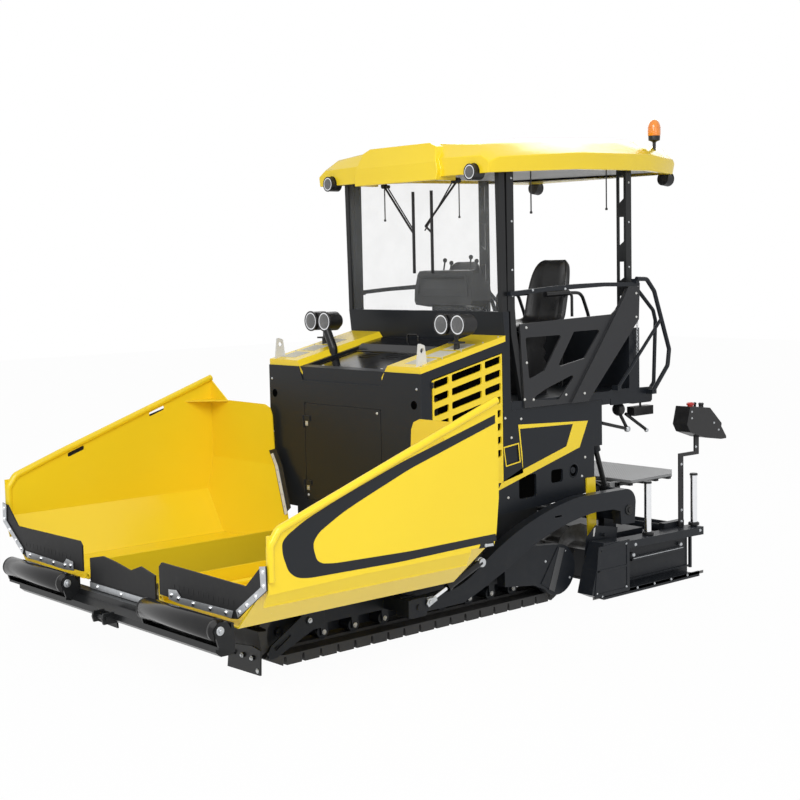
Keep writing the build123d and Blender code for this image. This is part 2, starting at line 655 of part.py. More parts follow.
def guard_rails():
    # The flat top rail and the bent handrails at the rear steps.
    rail = side_plate((
        (-838, 2238), (-838, 2268), (-1216, 2292), (-1525, 2306), (-1830, 2310), (-2142, 2304), (-2239, 2298),
        (-2239, 2274), (-2110, 2274), (-1830, 2280), (-1216, 2262),
    ), BRACE_Y)
    rail += slab((-838, -960), (BODY_HALF - 4, BODY_HALF), (2238, 2262)) - roof_posts()
    y = BRACE_Y[1] + 16
    bow = (
        (-2180, y, 2330), (-2300, y, 2325), (-2390, y, 2231), (-2569, y, 1775), (-2550, y, 1650),
        (-2374, y, 1464),
    )
    grab = bent_tube(bow, TUBE_R, 45)
    grab += slab((-2180, -2215), (BODY_HALF, y), (2296, 2330))
    grab += slab((-2350, -2400), (BODY_HALF, y + 12), (1440, 1474))
    grab += bar((-2469, y, 2011), (-1963, y, 1519), 13)
    grab += slab((-1945, -1985), (BODY_HALF, y + 10), (1496, 1532))
    inner = BODY_HALF - 30
    bow = (
        (-2230, inner, 2290), (-2323, inner, 2214), (-2475, inner, 2080), (-2502, inner, 2000),
        (-2478, inner, 1517), (-2405, inner, 1450),
    )
    grab += bent_tube(bow, TUBE_R - 2, 40)
    grab += slab((-2390, -2420), (inner, BODY_HALF), (1440, 1470))
    grab += slab((-2240, -2200), (inner - 15, BODY_HALF), (2275, 2300))
    return both(rail + grab) - platform()


def roof_posts():
    # Screen posts, slanted front posts and rear posts of folded sheet with cut-outs.
    screen_post = ((-838, 2130), (-788, 2130), (-770, ROOF_UNDER), (-826, ROOF_UNDER))
    front = side_plate(screen_post, (SCREEN_HALF, POST_Y[1] - 4))
    front += side_plate((
        (-970, DECK_TOP), (-1035, DECK_TOP), (-928, 1960), (-912, 2150), (-912, ROOF_UNDER), (-842, ROOF_UNDER),
        (-842, 2134), (-864, 2130), (-872, 1960),
    ), POST_Y)
    x0, x1 = REAR_POST_X
    y0, y1 = REAR_POST_Y
    rear = slab((x0, x1), (y1 - SHEET, y1), (CABINET_TOP, ROOF_UNDER))
    rear += slab((x0, x0 - SHEET), (y0, y1), (CABINET_TOP, ROOF_UNDER))
    rear += slab((x0, x0 - 30), (y0, y0 + SHEET), (CABINET_TOP, ROOF_UNDER))
    for low, high, drop in POST_WINDOWS:
        window = ((y0 + 22, low), (y1 - 24, low + drop), (y1 - 24, high), (y0 + 22, high))
        rear -= cross_plate(window, (x0 - 40, x0 + 20))
    return both(front + rear)


def roof():
    # A crowned shell with creased sides, open below, and the raised visor over the screen.
    base = ROOF_UNDER
    planes = [
        Plane(origin=(x, 0, base), x_dir=(0, 1, 0), z_dir=(1, 0, 0)) * outline((
            (-low_y, low), (-crease_y, crease), (-shoulder_y, shoulder), (-360, crown), (360, crown),
            (shoulder_y, shoulder), (crease_y, crease), (low_y, low),
        ))
        for x, low_y, crease_y, shoulder_y, low, crease, shoulder, crown in ROOF_SECTIONS
    ]
    shell = loft(planes, ruled=True)
    hollow = ((-640, -890), (-640, 890), (-2280, 885), (-2735, 745), (-2735, -745), (-2280, -885))
    shell -= level_plate(hollow, (base - 160, base))
    visor = side_plate((
        (-545, base - 98), (-556, base + 30), (-600, base + 172), (-1000, base + 205), (-1000, base),
        (-740, base), (-740, base - 98),
    ), (-460, 460))
    visor &= cross_plate((
        (-448, base - 98), (-458, base - 30), (-405, base + 140), (-250, base + 205), (250, base + 205),
        (405, base + 140), (458, base - 30), (448, base - 98),
    ), (-1100, -500))
    visor -= slab((-575, -1100), (-400, 400), (base - 160, base))
    shell += visor
    for side in (1, -1):
        y, z = side * CORNER_LAMP[1], CORNER_LAMP[2]
        shell -= bar((CORNER_LAMP[0] - 80, y, z), (-500, y, z), LAMP_R + 4)
    return shell


def work_lights():
    x, y, z = CORNER_LAMP
    corner = bar((x - 50, y, z), (x + 45, y, z), LAMP_R)
    corner += slab((x - 30, x - 50), (y - 12, y + 12), (z, ROOF_UNDER))
    rear = bar((-2745, y - 78, z + 10), (-2815, y - 78, z + 2), LAMP_R)
    rear += slab((-2765, -2745), (y - 90, y - 66), (z + 10, ROOF_UNDER))
    x, y, z = FLOODLIGHT
    lenses = (y - FLOOD_PITCH / 2, y + FLOOD_PITCH / 2)
    twin = slab((x - 55, x + 45), lenses, (z - FLOOD_R + 6, z + FLOOD_R - 6))
    for lens in lenses:
        twin += bar((x - 55, lens, z), (x + 55, lens, z), FLOOD_R)
        twin += bar((x - 85, lens, z), (x - 55, lens, z), FLOOD_R - 22)
    twin += bar((x - 10, y, z - FLOOD_R - 60), (x - 10, y, z - FLOOD_R + 10), 14)
    twin += slab((x - 50, x + 30), (y - 45, y + 45), (z - FLOOD_R - 60, z - FLOOD_R - 48))
    twin += bar((x - 10, y, 1840), (x - 10, y, z - FLOOD_R - 48), 22)
    return both(corner + rear + twin) - roof() - hood_rails() - hood_frame()


def windscreen():
    top = ROOF_UNDER - 60
    return side_plate(((-808, 2130), (-802, 2130), (-780, top), (-786, top)), (-SCREEN_HALF, SCREEN_HALF))


def wipers():
    # Each arm hangs from a pivot under the visor, with its blade upright.
    top = ROOF_UNDER - 95
    arms = []
    for pivot_y, elbow_y, blade_y in ((-367, -77, -30), (439, 101, 170)):
        arm = bar((-765, pivot_y, top), (-755, elbow_y, 2750), 8)
        arm += bar((-755, elbow_y, 2750), (-755, blade_y, 2700), 8)
        arm += slab((-765, -745), (blade_y - 6, blade_y + 6), (2406, 3006))
        arm += bar((-781, pivot_y, top), (-750, pivot_y, top), 20)
        arms.append(arm)
    return arms[0] + arms[1] - windscreen()


def console():
    # The bevelled instrument housing on its column.
    y0, y1 = CONSOLE_Y
    desk = side_plate((
        (-858, 2170), (-858, 2290), (-890, 2420), (-935, 2426), (-1055, 2300), (-1050, 2190), (-980, 2150),
    ), (y0, y1))
    desk &= cross_plate((
        (y0 + 25, 2150), (y1 - 25, 2150), (y1, 2200), (y1 - 12, 2400), (y1 - 30, 2426), (y0 + 30, 2426),
        (y0 + 12, 2400), (y0, 2200),
    ), (-1100, -850), radius=10)
    middle = (y0 + y1) / 2
    return desk + slab((-880, -960), (middle - 140, middle + 140), (DECK_TOP, 2160))


def seats():
    # Bucket seats on pedestals: a rounded shell with side bolsters round the cushion and back.
    y0, y1 = SEAT_Y
    shell = side_plate((
        (-1350, 1950), (-1358, 2000), (-1400, 2016), (-1795, 2006), (-1838, 2060), (-1885, 2440), (-1945, 2490),
        (-2005, 2470), (-1950, 2080), (-1880, 1940), (-1770, 1915), (-1380, 1925),
    ), (y0, y1), radius=8)
    shell &= seat_front(y0, y1)
    for y in (y0, y1 - 45):
        shell += side_plate((
            (-1390, 1990), (-1430, 2018), (-1797, 2018), (-1812, 2100), (-1850, 2370), (-1890, 2390), (-1900, 2100),
            (-1780, 1990),
        ), (y, y + 45), radius=8)
    middle = (y0 + y1) / 2
    shell += slab((-1480, -1740), (middle - 110, middle + 110), (DECK_TOP, 1925))
    return Pos(SEAT_SHIFT, 0, 0) * both(shell)


def exhaust():
    pipe = bent_tube(((-335, -490, 1740), (-335, -490, 1860), (-335, -560, 1990)), 32, 60)
    return seated(pipe, hood_rails(), hood_frame())


def beacon():
    x, y, top = -2560, BODY_HALF - 80, ROOF_UNDER + 395
    light = bar((x, y, ROOF_UNDER + 100), (x, y, top - 75), 14)
    light += bar((x, y, top - 165), (x, y, top - 125), 44) + bar((x, y, top - 130), (x, y, top), 50)
    return light - roof()


def lifting_eyes():
    y = BODY_HALF - 54
    eye = side_plate(((-20, 1770), (-110, 1790), (-90, 1930), (-40, 1946)), (y - 8, y + 8), radius=12)
    eye -= across(-66, 1895, 18, (y - 20, y + 20))
    return both(eye) - hood_rails()


# Tow arms and screed.
def tow_arms():
    # Long plates curved up over the final drives and down to the screed.
    front = TOW_POINT[0] + 55
    arm = curved_plate((front, 195), (
        (front, 285), (-60, 296), ((-200, 337), (-345, 417)), ((-837, 656), (-1359, 773)), (-1860, 770),
        ((-1952, 736), (-1980, 640)), (-1970, 504), (-1816, 508), (-1807, 612), (-1723, 635), (-1538, 640),
        ((-1091, 562), (-584, 351)), (-342, 252), (-180, 196),
    ), ARM_Y)
    arm -= across(*TOW_POINT, 21, (ARM_Y[0] - 10, ARM_Y[1] + 10))
    arm -= slab((-1093, -1163), (ARM_Y[0] - 10, ARM_Y[1] + 10), (653, 667))
    arm += across(*LIFT_EYE, 18, (LIFT_Y + 28, ARM_Y[0] + 10))
    return both(arm)


def lift_cylinders():
    x0, z0 = LIFT_TOP
    x1, z1 = LIFT_EYE
    along = Vector(x1 - x0, 0, z1 - z0).normalized()
    top = Vector(x0, LIFT_Y - 7, z0)
    barrel = bar(top - along * 10, top + along * 360, 36)
    barrel += across(x0, z0, 32, (LIFT_Y - 40, LIFT_Y + 26))
    barrel -= bar(top + along * 42, top + along * 420, 20.5)
    barrel -= across(x0, z0, 16, (LIFT_Y - 60, LIFT_Y + 60))
    return both(barrel)


def lift_rods():
    x0, z0 = LIFT_TOP
    x1, z1 = LIFT_EYE
    along = Vector(x1 - x0, 0, z1 - z0)
    eye = Vector(x1, LIFT_Y - 7, z1)
    rod = bar(eye - along.normalized() * (along.length - 325), eye, 20)
    rod += across(x1, z1, 34, (LIFT_Y - 32, LIFT_Y + 18))
    return both(rod)


def screed_body():
    box = slab((-1930, -2330), (-SCREED_HALF, SCREED_HALF), (12, 320))
    box += slab((-1920, -2340), (-SCREED_HALF, SCREED_HALF), (0, 14))
    box += slab((-1960, -2300), (-SCREED_HALF, SCREED_HALF), (318, 400))
    for z in (60, 200):
        box += slab((-2320, -2349), (-SCREED_HALF, SCREED_HALF), (z, z + 40))
    for side in (1, -1):
        box += slab((-1890, -1960), (side * 700, side * ARM_Y[0]), (520, 650))
        box += slab((-1950, -2090), (side * 700, side * 760), (390, 660))
    return box


def screed_walkway():
    edge = ((-2300, -740), (-2300, 740), (-2800, 740), (-2980, 600), (-2980, -600), (-2800, -740))
    deck = level_plate(edge, (735, 755))
    for y in (-600, 600):
        deck += slab((-2180, -2210), (y - 20, y + 20), (400, 740))
        deck += slab((-2180, -2700), (y - 20, y + 20), (700, 736))
    return deck


def screed_extension(side):
    outer = GATE_Y[0]
    unit = slab((-2350, -2670), (20, outer), (0, 250))
    unit += slab((-2360, -2640), (20, outer), (249, 320))
    for x in (-2450, -2580):
        unit += bar((x, 20, 380), (x, outer, 380), 32)
    unit += slab((-2400, -2640), (930, outer), (310, 430))
    return on_side(side, unit)


def end_gate(side):
    # The deep front block, the recessed plate behind it, the top beam and the sole.
    y0, y1 = GATE_Y
    panel = y0 + 20
    gate = side_plate((
        (-1388, 54), (-1441, 229), (-1525, 419), (-1814, 404), (-1786, 14), (-1786, 0), (-1521, 0),
    ), (y0, y1))
    gate += slab((-1780, -2652), (y0, panel), (0, 380))
    gate += side_plate(((-1812, 396), (-2705, 385), (-2705, 322), (-1808, 344)), (y0, y1))
    gate += slab((-1780, -2652), (y0, y1), (0, 16))
    gate += side_plate(((-1786, 16), (-2652, 16), (-2652, 40), (-1786, 44)), (y1 - 14, y1))
    gate += slab((-1947, -2568), (panel, panel + 34), (210, 226))
    for x in (-2110, -2672):
        gate += bar((x, panel + 50, 370), (x, panel + 50, 800), 26)
    return on_side(side, gate)


def screed_remote(side):
    # The jogged bar on the end gate and the operator's box at its top.
    y = (GATE_Y[0] + 20, GATE_Y[0] + 32)
    bracket = slab((-2540, -2594), y, (370, 966)) - end_gate(1)
    bracket += slab((-2540, -2790), y, (938, 966))
    bracket += slab((-2735, -2790), y, (938, 1110))
    box = side_plate((
        (-2600, 1331), (-2850, 1304), (-3000, 1170), (-2996, 1144), (-REAR_TIP, 1060), (-REAR_TIP, 1043),
        (-2990, 1043), (-2790, 1072), (-2600, 1131), (-2560, 1193),
    ), (GATE_Y[0] - 45, GATE_Y[0] + 95))
    return on_side(side, bracket + box)


def auger(side):
    # One flight of flat-sided blades wound round the shaft.
    x, z = AUGER
    y0, y1 = AUGER_Y
    core = 28
    shaft = across(x, z, core + 2, (91, y1 + 8)) + across(x, z, 20, (y1, BODY_HALF + 18))
    turns = (y1 - y0 - 20) / AUGER_PITCH
    steps = round(12 * turns)
    blades = []
    for step in range(steps + 1):
        angle = radians(360 * turns * step / steps)
        middle = (x, y0 + 10 + (y1 - y0 - 20) * step / steps, z)
        plane = Plane(origin=middle, x_dir=(cos(angle), 0, sin(angle)), z_dir=(-sin(angle), 0, cos(angle)))
        blades.append(plane * Pos((AUGER_R + core) / 2, 0, 0) * Rectangle(AUGER_R - core, 8))
    return on_side(side, shaft + loft(blades, ruled=True))


def auger_frame():
    x, z = AUGER
    frame = slab((x - 60, x + 60), (-90, 90), (z - 80, 760))
    hanger = ((x - 45, z - 45), (x + 45, z - 45), (x + 60, 860), (x - 35, 860))
    frame += both(side_plate(hanger, (BODY_HALF, BODY_HALF + 14)))
    frame -= both(across(x, z, 21, (BODY_HALF - 10, BODY_HALF + 50)))
    return frame - hull()


def build():
    save("hull", hull())
    save("hull_sides", hull_sides())
    save("hood_frame", hood_frame())
    save("front_frame", front_frame())
    save("front_panel", front_panel())
    save("service_door", service_door())
    save("hood_rails", hood_rails())
    save("hood_lid", hood_lid())
    save("engine_block", engine_block())
    save("conveyor", conveyor())
    save("push_beam", push_beam())
    save("clearing_plates", clearing_plates())
    save("centre_apron", centre_apron())
    save("platform", platform())
    save("side_panels", side_panels())
    save("guard_rails", guard_rails())
    save("roof_posts", roof_posts())
    save("roof", roof())
    save("work_lights", work_lights())
    save("windscreen", windscreen())
    save("wipers", wipers())
    save("console", console())
    save("seats", seats())
    save("exhaust", exhaust())
    save("beacon", beacon())
    save("lifting_eyes", lifting_eyes())
    save("auger_frame", auger_frame())
    save("tow_arms", tow_arms())
    save("lift_cylinders", lift_cylinders())
    save("lift_rods", lift_rods())
    save("screed_body", screed_body())
    save("screed_walkway", screed_walkway())
    track = track_loop()
    frame = track_frame()
    for name, side in SIDES.items():
        save(f"track_{name}", on_side(side, track))
        save(f"track_frame_{name}", on_side(side, frame))
        save(f"grille_door_{name}", grille_door(side))
        save(f"hopper_wing_{name}", hopper_wing(side))
        save(f"wing_apron_{name}", wing_apron(side))
        save(f"push_roller_{name}", push_roller(side))
        save(f"wing_cylinder_{name}", wing_cylinder(side))
        save(f"wing_rod_{name}", wing_rod(side))
        save(f"screed_extension_{name}", screed_extension(side))
        save(f"end_gate_{name}", end_gate(side))
        save(f"screed_remote_{name}", screed_remote(side))
        save(f"auger_{name}", auger(side))


build()
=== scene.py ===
import math
import bpy
import bmesh
from mathutils import Matrix, Vector
from mathutils.bvhtree import BVHTree


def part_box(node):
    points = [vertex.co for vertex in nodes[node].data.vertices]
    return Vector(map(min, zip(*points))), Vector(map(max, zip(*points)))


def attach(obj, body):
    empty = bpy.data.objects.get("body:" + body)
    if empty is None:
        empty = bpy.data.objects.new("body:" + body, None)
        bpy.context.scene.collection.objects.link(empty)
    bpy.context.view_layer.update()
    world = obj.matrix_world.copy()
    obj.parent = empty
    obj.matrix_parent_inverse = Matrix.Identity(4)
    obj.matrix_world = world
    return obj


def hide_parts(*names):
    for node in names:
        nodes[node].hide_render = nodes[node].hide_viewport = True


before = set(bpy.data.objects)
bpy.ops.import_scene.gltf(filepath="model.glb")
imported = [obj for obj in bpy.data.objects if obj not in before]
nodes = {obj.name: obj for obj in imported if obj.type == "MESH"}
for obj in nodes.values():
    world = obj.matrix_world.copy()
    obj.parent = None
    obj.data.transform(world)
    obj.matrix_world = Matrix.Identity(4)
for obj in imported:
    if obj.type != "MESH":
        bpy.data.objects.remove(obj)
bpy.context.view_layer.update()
scene = bpy.context.scene
scene.view_settings.view_transform = "Standard"
print("loaded", len(nodes), "nodes")


stage = {
    "floorColor": (0.78, 0.78, 0.78, 1),
    "floorSize": 30.0,
    "floorGlow": 0.97,
    "keyPower": 360.0,
    "fillPower": 105.0,
    "rimPower": 150.0,
    "worldStrength": 0.50,
}
view = {
    "place": (6.9537, 8.0175, 2.4788),
    "yaw": -2.28809505,
    "pitch": -0.0904539507,
    "roll": -0.0204668,
    "lens": 65.2226,
    "shiftY": -0.0058375,
}


def aimCamera():
    data = bpy.data.cameras.new("siteCamera")
    camera = bpy.data.objects.new("siteCamera", data)
    scene.collection.objects.link(camera)
    yaw, pitch, roll = view["yaw"], view["pitch"], view["roll"]
    forward = Vector((math.cos(pitch) * math.cos(yaw), math.cos(pitch) * math.sin(yaw), math.sin(pitch)))
    right = forward.cross(Vector((0, 0, 1))).normalized()
    up = right.cross(forward)
    side = right * math.cos(roll) + up * math.sin(roll)
    top = up * math.cos(roll) - right * math.sin(roll)
    turn = Matrix((side, top, -forward)).transposed().to_4x4()
    camera.matrix_world = Matrix.Translation(view["place"]) @ turn
    data.lens = view["lens"]
    data.sensor_width = 36
    data.shift_y = view["shiftY"]
    data.clip_end = 200
    scene.camera = camera


def seenDirectly(tree):
    # 1 for rays that the camera, a reflection or glass sends, 0 for light that bounces
    path = tree.nodes.new("ShaderNodeLightPath")
    total = path.outputs["Is Camera Ray"]
    for label in ("Is Glossy Ray", "Is Transmission Ray"):
        larger = tree.nodes.new("ShaderNodeMath")
        larger.operation = "MAXIMUM"
        tree.links.new(total, larger.inputs[0])
        tree.links.new(path.outputs[label], larger.inputs[1])
        total = larger.outputs[0]
    return total


def layFloor():
    mesh = bpy.data.meshes.new("studioFloor")
    half = stage["floorSize"]
    mesh.from_pydata(
        [(-half, -half, 0), (half, -half, 0), (half, half, 0), (-half, half, 0)], [], [(0, 1, 2, 3)]
    )
    floor = bpy.data.objects.new("studioFloor", mesh)
    scene.collection.objects.link(floor)
    floor.location.z = -0.001
    paper = bpy.data.materials.new("studioPaper")
    paper.use_nodes = True
    tree = paper.node_tree
    base = tree.nodes["Principled BSDF"]
    base.inputs["Base Color"].default_value = stage["floorColor"]
    base.inputs["Roughness"].default_value = 0.9
    glow = tree.nodes.new("ShaderNodeEmission")
    share = tree.nodes.new("ShaderNodeMath")
    share.operation = "MULTIPLY"
    share.inputs[1].default_value = stage["floorGlow"]
    tree.links.new(seenDirectly(tree), share.inputs[0])
    mix = tree.nodes.new("ShaderNodeMixShader")
    tree.links.new(share.outputs[0], mix.inputs[0])
    tree.links.new(base.outputs[0], mix.inputs[1])
    tree.links.new(glow.outputs[0], mix.inputs[2])
    tree.links.new(mix.outputs[0], tree.nodes["Material Output"].inputs["Surface"])
    floor.data.materials.append(paper)


def hangLights():
    world = bpy.data.worlds.new("studioWorld")
    scene.world = world
    world.use_nodes = True
    tree = world.node_tree
    back = tree.nodes["Background"]
    back.inputs["Color"].default_value = (1, 1, 1, 1)
    back.inputs["Strength"].default_value = stage["worldStrength"]
    plain = tree.nodes.new("ShaderNodeBackground")
    plain.inputs["Color"].default_value = (1, 1, 1, 1)
    plain.inputs["Strength"].default_value = 1.0
    mix = tree.nodes.new("ShaderNodeMixShader")
    tree.links.new(seenDirectly(tree), mix.inputs[0])
    tree.links.new(back.outputs[0], mix.inputs[1])
    tree.links.new(plain.outputs[0], mix.inputs[2])
    tree.links.new(mix.outputs[0], tree.nodes["World Output"].inputs["Surface"])
    for name, power, place, size in (
        ("keySoftbox", stage["keyPower"], (5.5, 4.5, 6.5), 4.0),
        ("fillSoftbox", stage["fillPower"], (1.0, 8.0, 3.5), 5.0),
        ("rimSoftbox", stage["rimPower"], (-5.0, -3.0, 6.0), 4.0),
    ):
        data = bpy.data.lights.new(name, "AREA")
        data.energy = power
        data.size = size
        lamp = bpy.data.objects.new(name, data)
        scene.collection.objects.link(lamp)
        lamp.location = place
        lamp.rotation_euler = (Vector((0, 0, 1.2)) - Vector(place)).to_track_quat("-Z", "Y").to_euler()


aimCamera()
layFloor()
hangLights()
print("stage is set")
# shared surface effects, each a node group that the materials place with their own values


def effectGroup(name, inputs, outputs):
    tree = bpy.data.node_groups.new(name, "ShaderNodeTree")
    for label, kind, value in inputs:
        socket = tree.interface.new_socket(label, in_out="INPUT", socket_type=kind)
        socket.default_value = value
    for label, kind in outputs:
        tree.interface.new_socket(label, in_out="OUTPUT", socket_type=kind)
    return tree, tree.nodes.new("NodeGroupInput"), tree.nodes.new("NodeGroupOutput")


def give(tree, socket, value):
    # a number or a colour is set, and anything else is linked
    if isinstance(value, (int, float, tuple)):
        socket.default_value = value
    else:
        tree.links.new(value, socket)


def noiseNode(tree, vector, scale, detail=3.0, roughness=0.5):
    noise = tree.nodes.new("ShaderNodeTexNoise")
    give(tree, noise.inputs["Scale"], scale)
    give(tree, noise.inputs["Detail"], detail)
    give(tree, noise.inputs["Roughness"], roughness)
    tree.links.new(vector, noise.inputs["Vector"])
    return noise.outputs["Fac"]


def mapped(tree, value, low, high, toLow, toHigh):
    ramp = tree.nodes.new("ShaderNodeMapRange")
    for label, number in (
        ("Value", value), ("From Min", low), ("From Max", high), ("To Min", toLow), ("To Max", toHigh)
    ):
        give(tree, ramp.inputs[label], number)
    return ramp.outputs["Result"]


def mixColor(tree, factor, first, second):
    mix = tree.nodes.new("ShaderNodeMix")
    mix.data_type = "RGBA"
    give(tree, mix.inputs[0], factor)
    give(tree, mix.inputs[6], first)
    give(tree, mix.inputs[7], second)
    return mix.outputs[2]


def worked(tree, operation, *values):
    step = tree.nodes.new("ShaderNodeMath")
    step.operation = operation
    for place, value in enumerate(values):
        give(tree, step.inputs[place], value)
    return step.outputs[0]


def objectPlace(tree):
    return tree.nodes.new("ShaderNodeTexCoord").outputs["Object"]


def closeGroup(tree, end, color, rough, height):
    tree.links.new(color, end.inputs["Color"])
    tree.links.new(rough, end.inputs["Roughness"])
    tree.links.new(height, end.inputs["Height"])
    return tree


groupOutputs = [
    ("Color", "NodeSocketColor"),
    ("Roughness", "NodeSocketFloat"),
    ("Height", "NodeSocketFloat"),
]


def buildPaintFilm():
    # sprayed paint: slow colour drift, orange peel, lighter edges that are part rubbed paint and part
    # painted highlight, and dust low on the machine
    tree, start, end = effectGroup(
        "paintFilm",
        [
            ("Color", "NodeSocketColor", (1, 1, 1, 1)),
            ("Shade", "NodeSocketColor", (0.5, 0.5, 0.5, 1)),
            ("EdgeWearAndHighlight", "NodeSocketColor", (0.3, 0.3, 0.3, 1)),
            ("EdgeWearAndHighlightShare", "NodeSocketFloat", 0.2),
            ("Dust", "NodeSocketFloat", 0.1),
            ("Gloss", "NodeSocketFloat", 0.3),
            ("Grain", "NodeSocketFloat", 260.0),
        ],
        groupOutputs,
    )
    given = start.outputs
    place = objectPlace(tree)
    drift = noiseNode(tree, place, 1.7, 2.0)
    peel = noiseNode(tree, place, given["Grain"], 2.0)
    cloud = noiseNode(tree, place, 9.0, 5.0, 0.62)
    color = mixColor(tree, mapped(tree, drift, 0.35, 0.7, 0.0, 0.5), given["Color"], given["Shade"])
    rounded = tree.nodes.new("ShaderNodeBevel")
    rounded.samples = 4
    rounded.inputs["Radius"].default_value = 0.004
    turn = tree.nodes.new("ShaderNodeVectorMath")
    turn.operation = "DOT_PRODUCT"
    tree.links.new(rounded.outputs["Normal"], turn.inputs[0])
    tree.links.new(tree.nodes.new("ShaderNodeNewGeometry").outputs["Normal"], turn.inputs[1])
    # painted highlight and wear: rounded edges take a lighter colour, part rubbed paint and part light
    # caught on the edge
    edge = worked(
        tree, "MULTIPLY", mapped(tree, turn.outputs["Value"], 0.97, 0.75, 0.0, 1.0), given["EdgeWearAndHighlightShare"]
    )
    edge = worked(tree, "MULTIPLY", edge, mapped(tree, cloud, 0.35, 0.6, 0.3, 1.0))
    color = mixColor(tree, edge, color, given["EdgeWearAndHighlight"])
    split = tree.nodes.new("ShaderNodeSeparateXYZ")
    tree.links.new(place, split.inputs[0])
    low = mapped(tree, split.outputs["Z"], 0.0, 0.9, given["Dust"], 0.0)
    patch = worked(tree, "MULTIPLY", low, mapped(tree, cloud, 0.45, 0.75, 0.0, 1.0))
    color = mixColor(tree, patch, color, (0.32, 0.29, 0.25, 1))
    rough = worked(tree, "ADD", mapped(tree, cloud, 0.3, 0.8, -0.02, 0.04), given["Gloss"])
    return closeGroup(tree, end, color, rough, peel)


def buildMouldGrain():
    # fine pebbled grain of rubber, vinyl and moulded plastic
    tree, start, end = effectGroup(
        "mouldGrain",
        [
            ("Color", "NodeSocketColor", (0.02, 0.02, 0.02, 1)),
            ("Worn", "NodeSocketColor", (0.06, 0.06, 0.06, 1)),
            ("Scale", "NodeSocketFloat", 400.0),
            ("Matt", "NodeSocketFloat", 0.6),
        ],
        groupOutputs,
    )
    given = start.outputs
    place = objectPlace(tree)
    cells = tree.nodes.new("ShaderNodeTexVoronoi")
    tree.links.new(place, cells.inputs["Vector"])
    tree.links.new(given["Scale"], cells.inputs["Scale"])
    cloud = noiseNode(tree, place, 14.0, 5.0, 0.6)
    color = mixColor(tree, mapped(tree, cloud, 0.45, 0.8, 0.0, 1.0), given["Color"], given["Worn"])
    rough = worked(tree, "ADD", mapped(tree, cloud, 0.3, 0.8, -0.08, 0.1), given["Matt"])
    return closeGroup(tree, end, color, rough, cells.outputs["Distance"])


def buildMillFinish():
    # zinc, chrome and worn steel: spangle, rolled streaks and slight staining
    tree, start, end = effectGroup(
        "millFinish",
        [
            ("Color", "NodeSocketColor", (0.6, 0.6, 0.6, 1)),
            ("Stain", "NodeSocketColor", (0.3, 0.28, 0.26, 1)),
            ("Amount", "NodeSocketFloat", 0.3),
            ("Gloss", "NodeSocketFloat", 0.3),
        ],
        groupOutputs,
    )
    given = start.outputs
    place = objectPlace(tree)
    stretch = tree.nodes.new("ShaderNodeMapping")
    stretch.inputs["Scale"].default_value = (6.0, 60.0, 60.0)
    tree.links.new(place, stretch.inputs["Vector"])
    streak = noiseNode(tree, stretch.outputs[0], 3.0, 4.0, 0.6)
    cloud = noiseNode(tree, place, 24.0, 5.0, 0.65)
    part = mapped(tree, cloud, 0.42, 0.75, 0.0, given["Amount"])
    color = mixColor(tree, part, given["Color"], given["Stain"])
    rough = worked(tree, "ADD", mapped(tree, streak, 0.25, 0.8, -0.04, 0.12), given["Gloss"])
    return closeGroup(tree, end, color, rough, streak)


effects = {"film": buildPaintFilm(), "grain": buildMouldGrain(), "mill": buildMillFinish()}
print("surface effects built")


def surfaced(name, effect, values, bump=0.02, **plain):
    material = bpy.data.materials.new(name)
    material.use_nodes = True
    tree = material.node_tree
    base = tree.nodes["Principled BSDF"]
    part = tree.nodes.new("ShaderNodeGroup")
    part.node_tree = effects[effect]
    for label, value in values.items():
        part.inputs[label].default_value = value
    tree.links.new(part.outputs["Color"], base.inputs["Base Color"])
    tree.links.new(part.outputs["Roughness"], base.inputs["Roughness"])
    raised = tree.nodes.new("ShaderNodeBump")
    raised.inputs["Strength"].default_value = bump
    raised.inputs["Distance"].default_value = 0.001
    tree.links.new(part.outputs["Height"], raised.inputs["Height"])
    tree.links.new(raised.outputs["Normal"], base.inputs["Normal"])
    base.inputs["Coat Roughness"].default_value = 0.12
    for label, value in plain.items():
        base.inputs[label.replace("_", " ")].default_value = value
    return material


def paint(
    name, color, shade, edgeWearAndHighlight=(0.25, 0.25, 0.25, 1), edgeWearAndHighlightShare=0.2, dust=0.03, gloss=0.3, coat=0.03, bump=0.04,
    shine=0.5
):
    values = {"Color": color, "Shade": shade, "EdgeWearAndHighlight": edgeWearAndHighlight, "EdgeWearAndHighlightShare": edgeWearAndHighlightShare, "Dust": dust, "Gloss": gloss}
    return surfaced(name, "film", values, bump=bump, Coat_Weight=coat, Specular_IOR_Level=shine)


def mould(name, color, worn, scale, matt, bump=0.08, **plain):
    return surfaced(
        name, "grain", {"Color": color, "Worn": worn, "Scale": scale, "Matt": matt}, bump=bump, **plain
    )


def mill(name, color, stain, amount, gloss, metallic, bump=0.05):
    values = {"Color": color, "Stain": stain, "Amount": amount, "Gloss": gloss}
    return surfaced(name, "mill", values, bump=bump, Metallic=metallic)


def glassy(name, color, roughness, alpha, grime):
    # a pane that shows mostly what is behind it, with a faint film of dirt
    material = bpy.data.materials.new(name)
    material.use_nodes = True
    tree = material.node_tree
    base = tree.nodes["Principled BSDF"]
    base.inputs["Base Color"].default_value = color
    base.inputs["IOR"].default_value = 1.45
    cloud = noiseNode(tree, objectPlace(tree), 5.0, 4.0, 0.6)
    tree.links.new(mapped(tree, cloud, 0.3, 0.8, alpha, alpha + grime), base.inputs["Alpha"])
    tree.links.new(mapped(tree, cloud, 0.3, 0.8, roughness, roughness + 0.05), base.inputs["Roughness"])
    return material


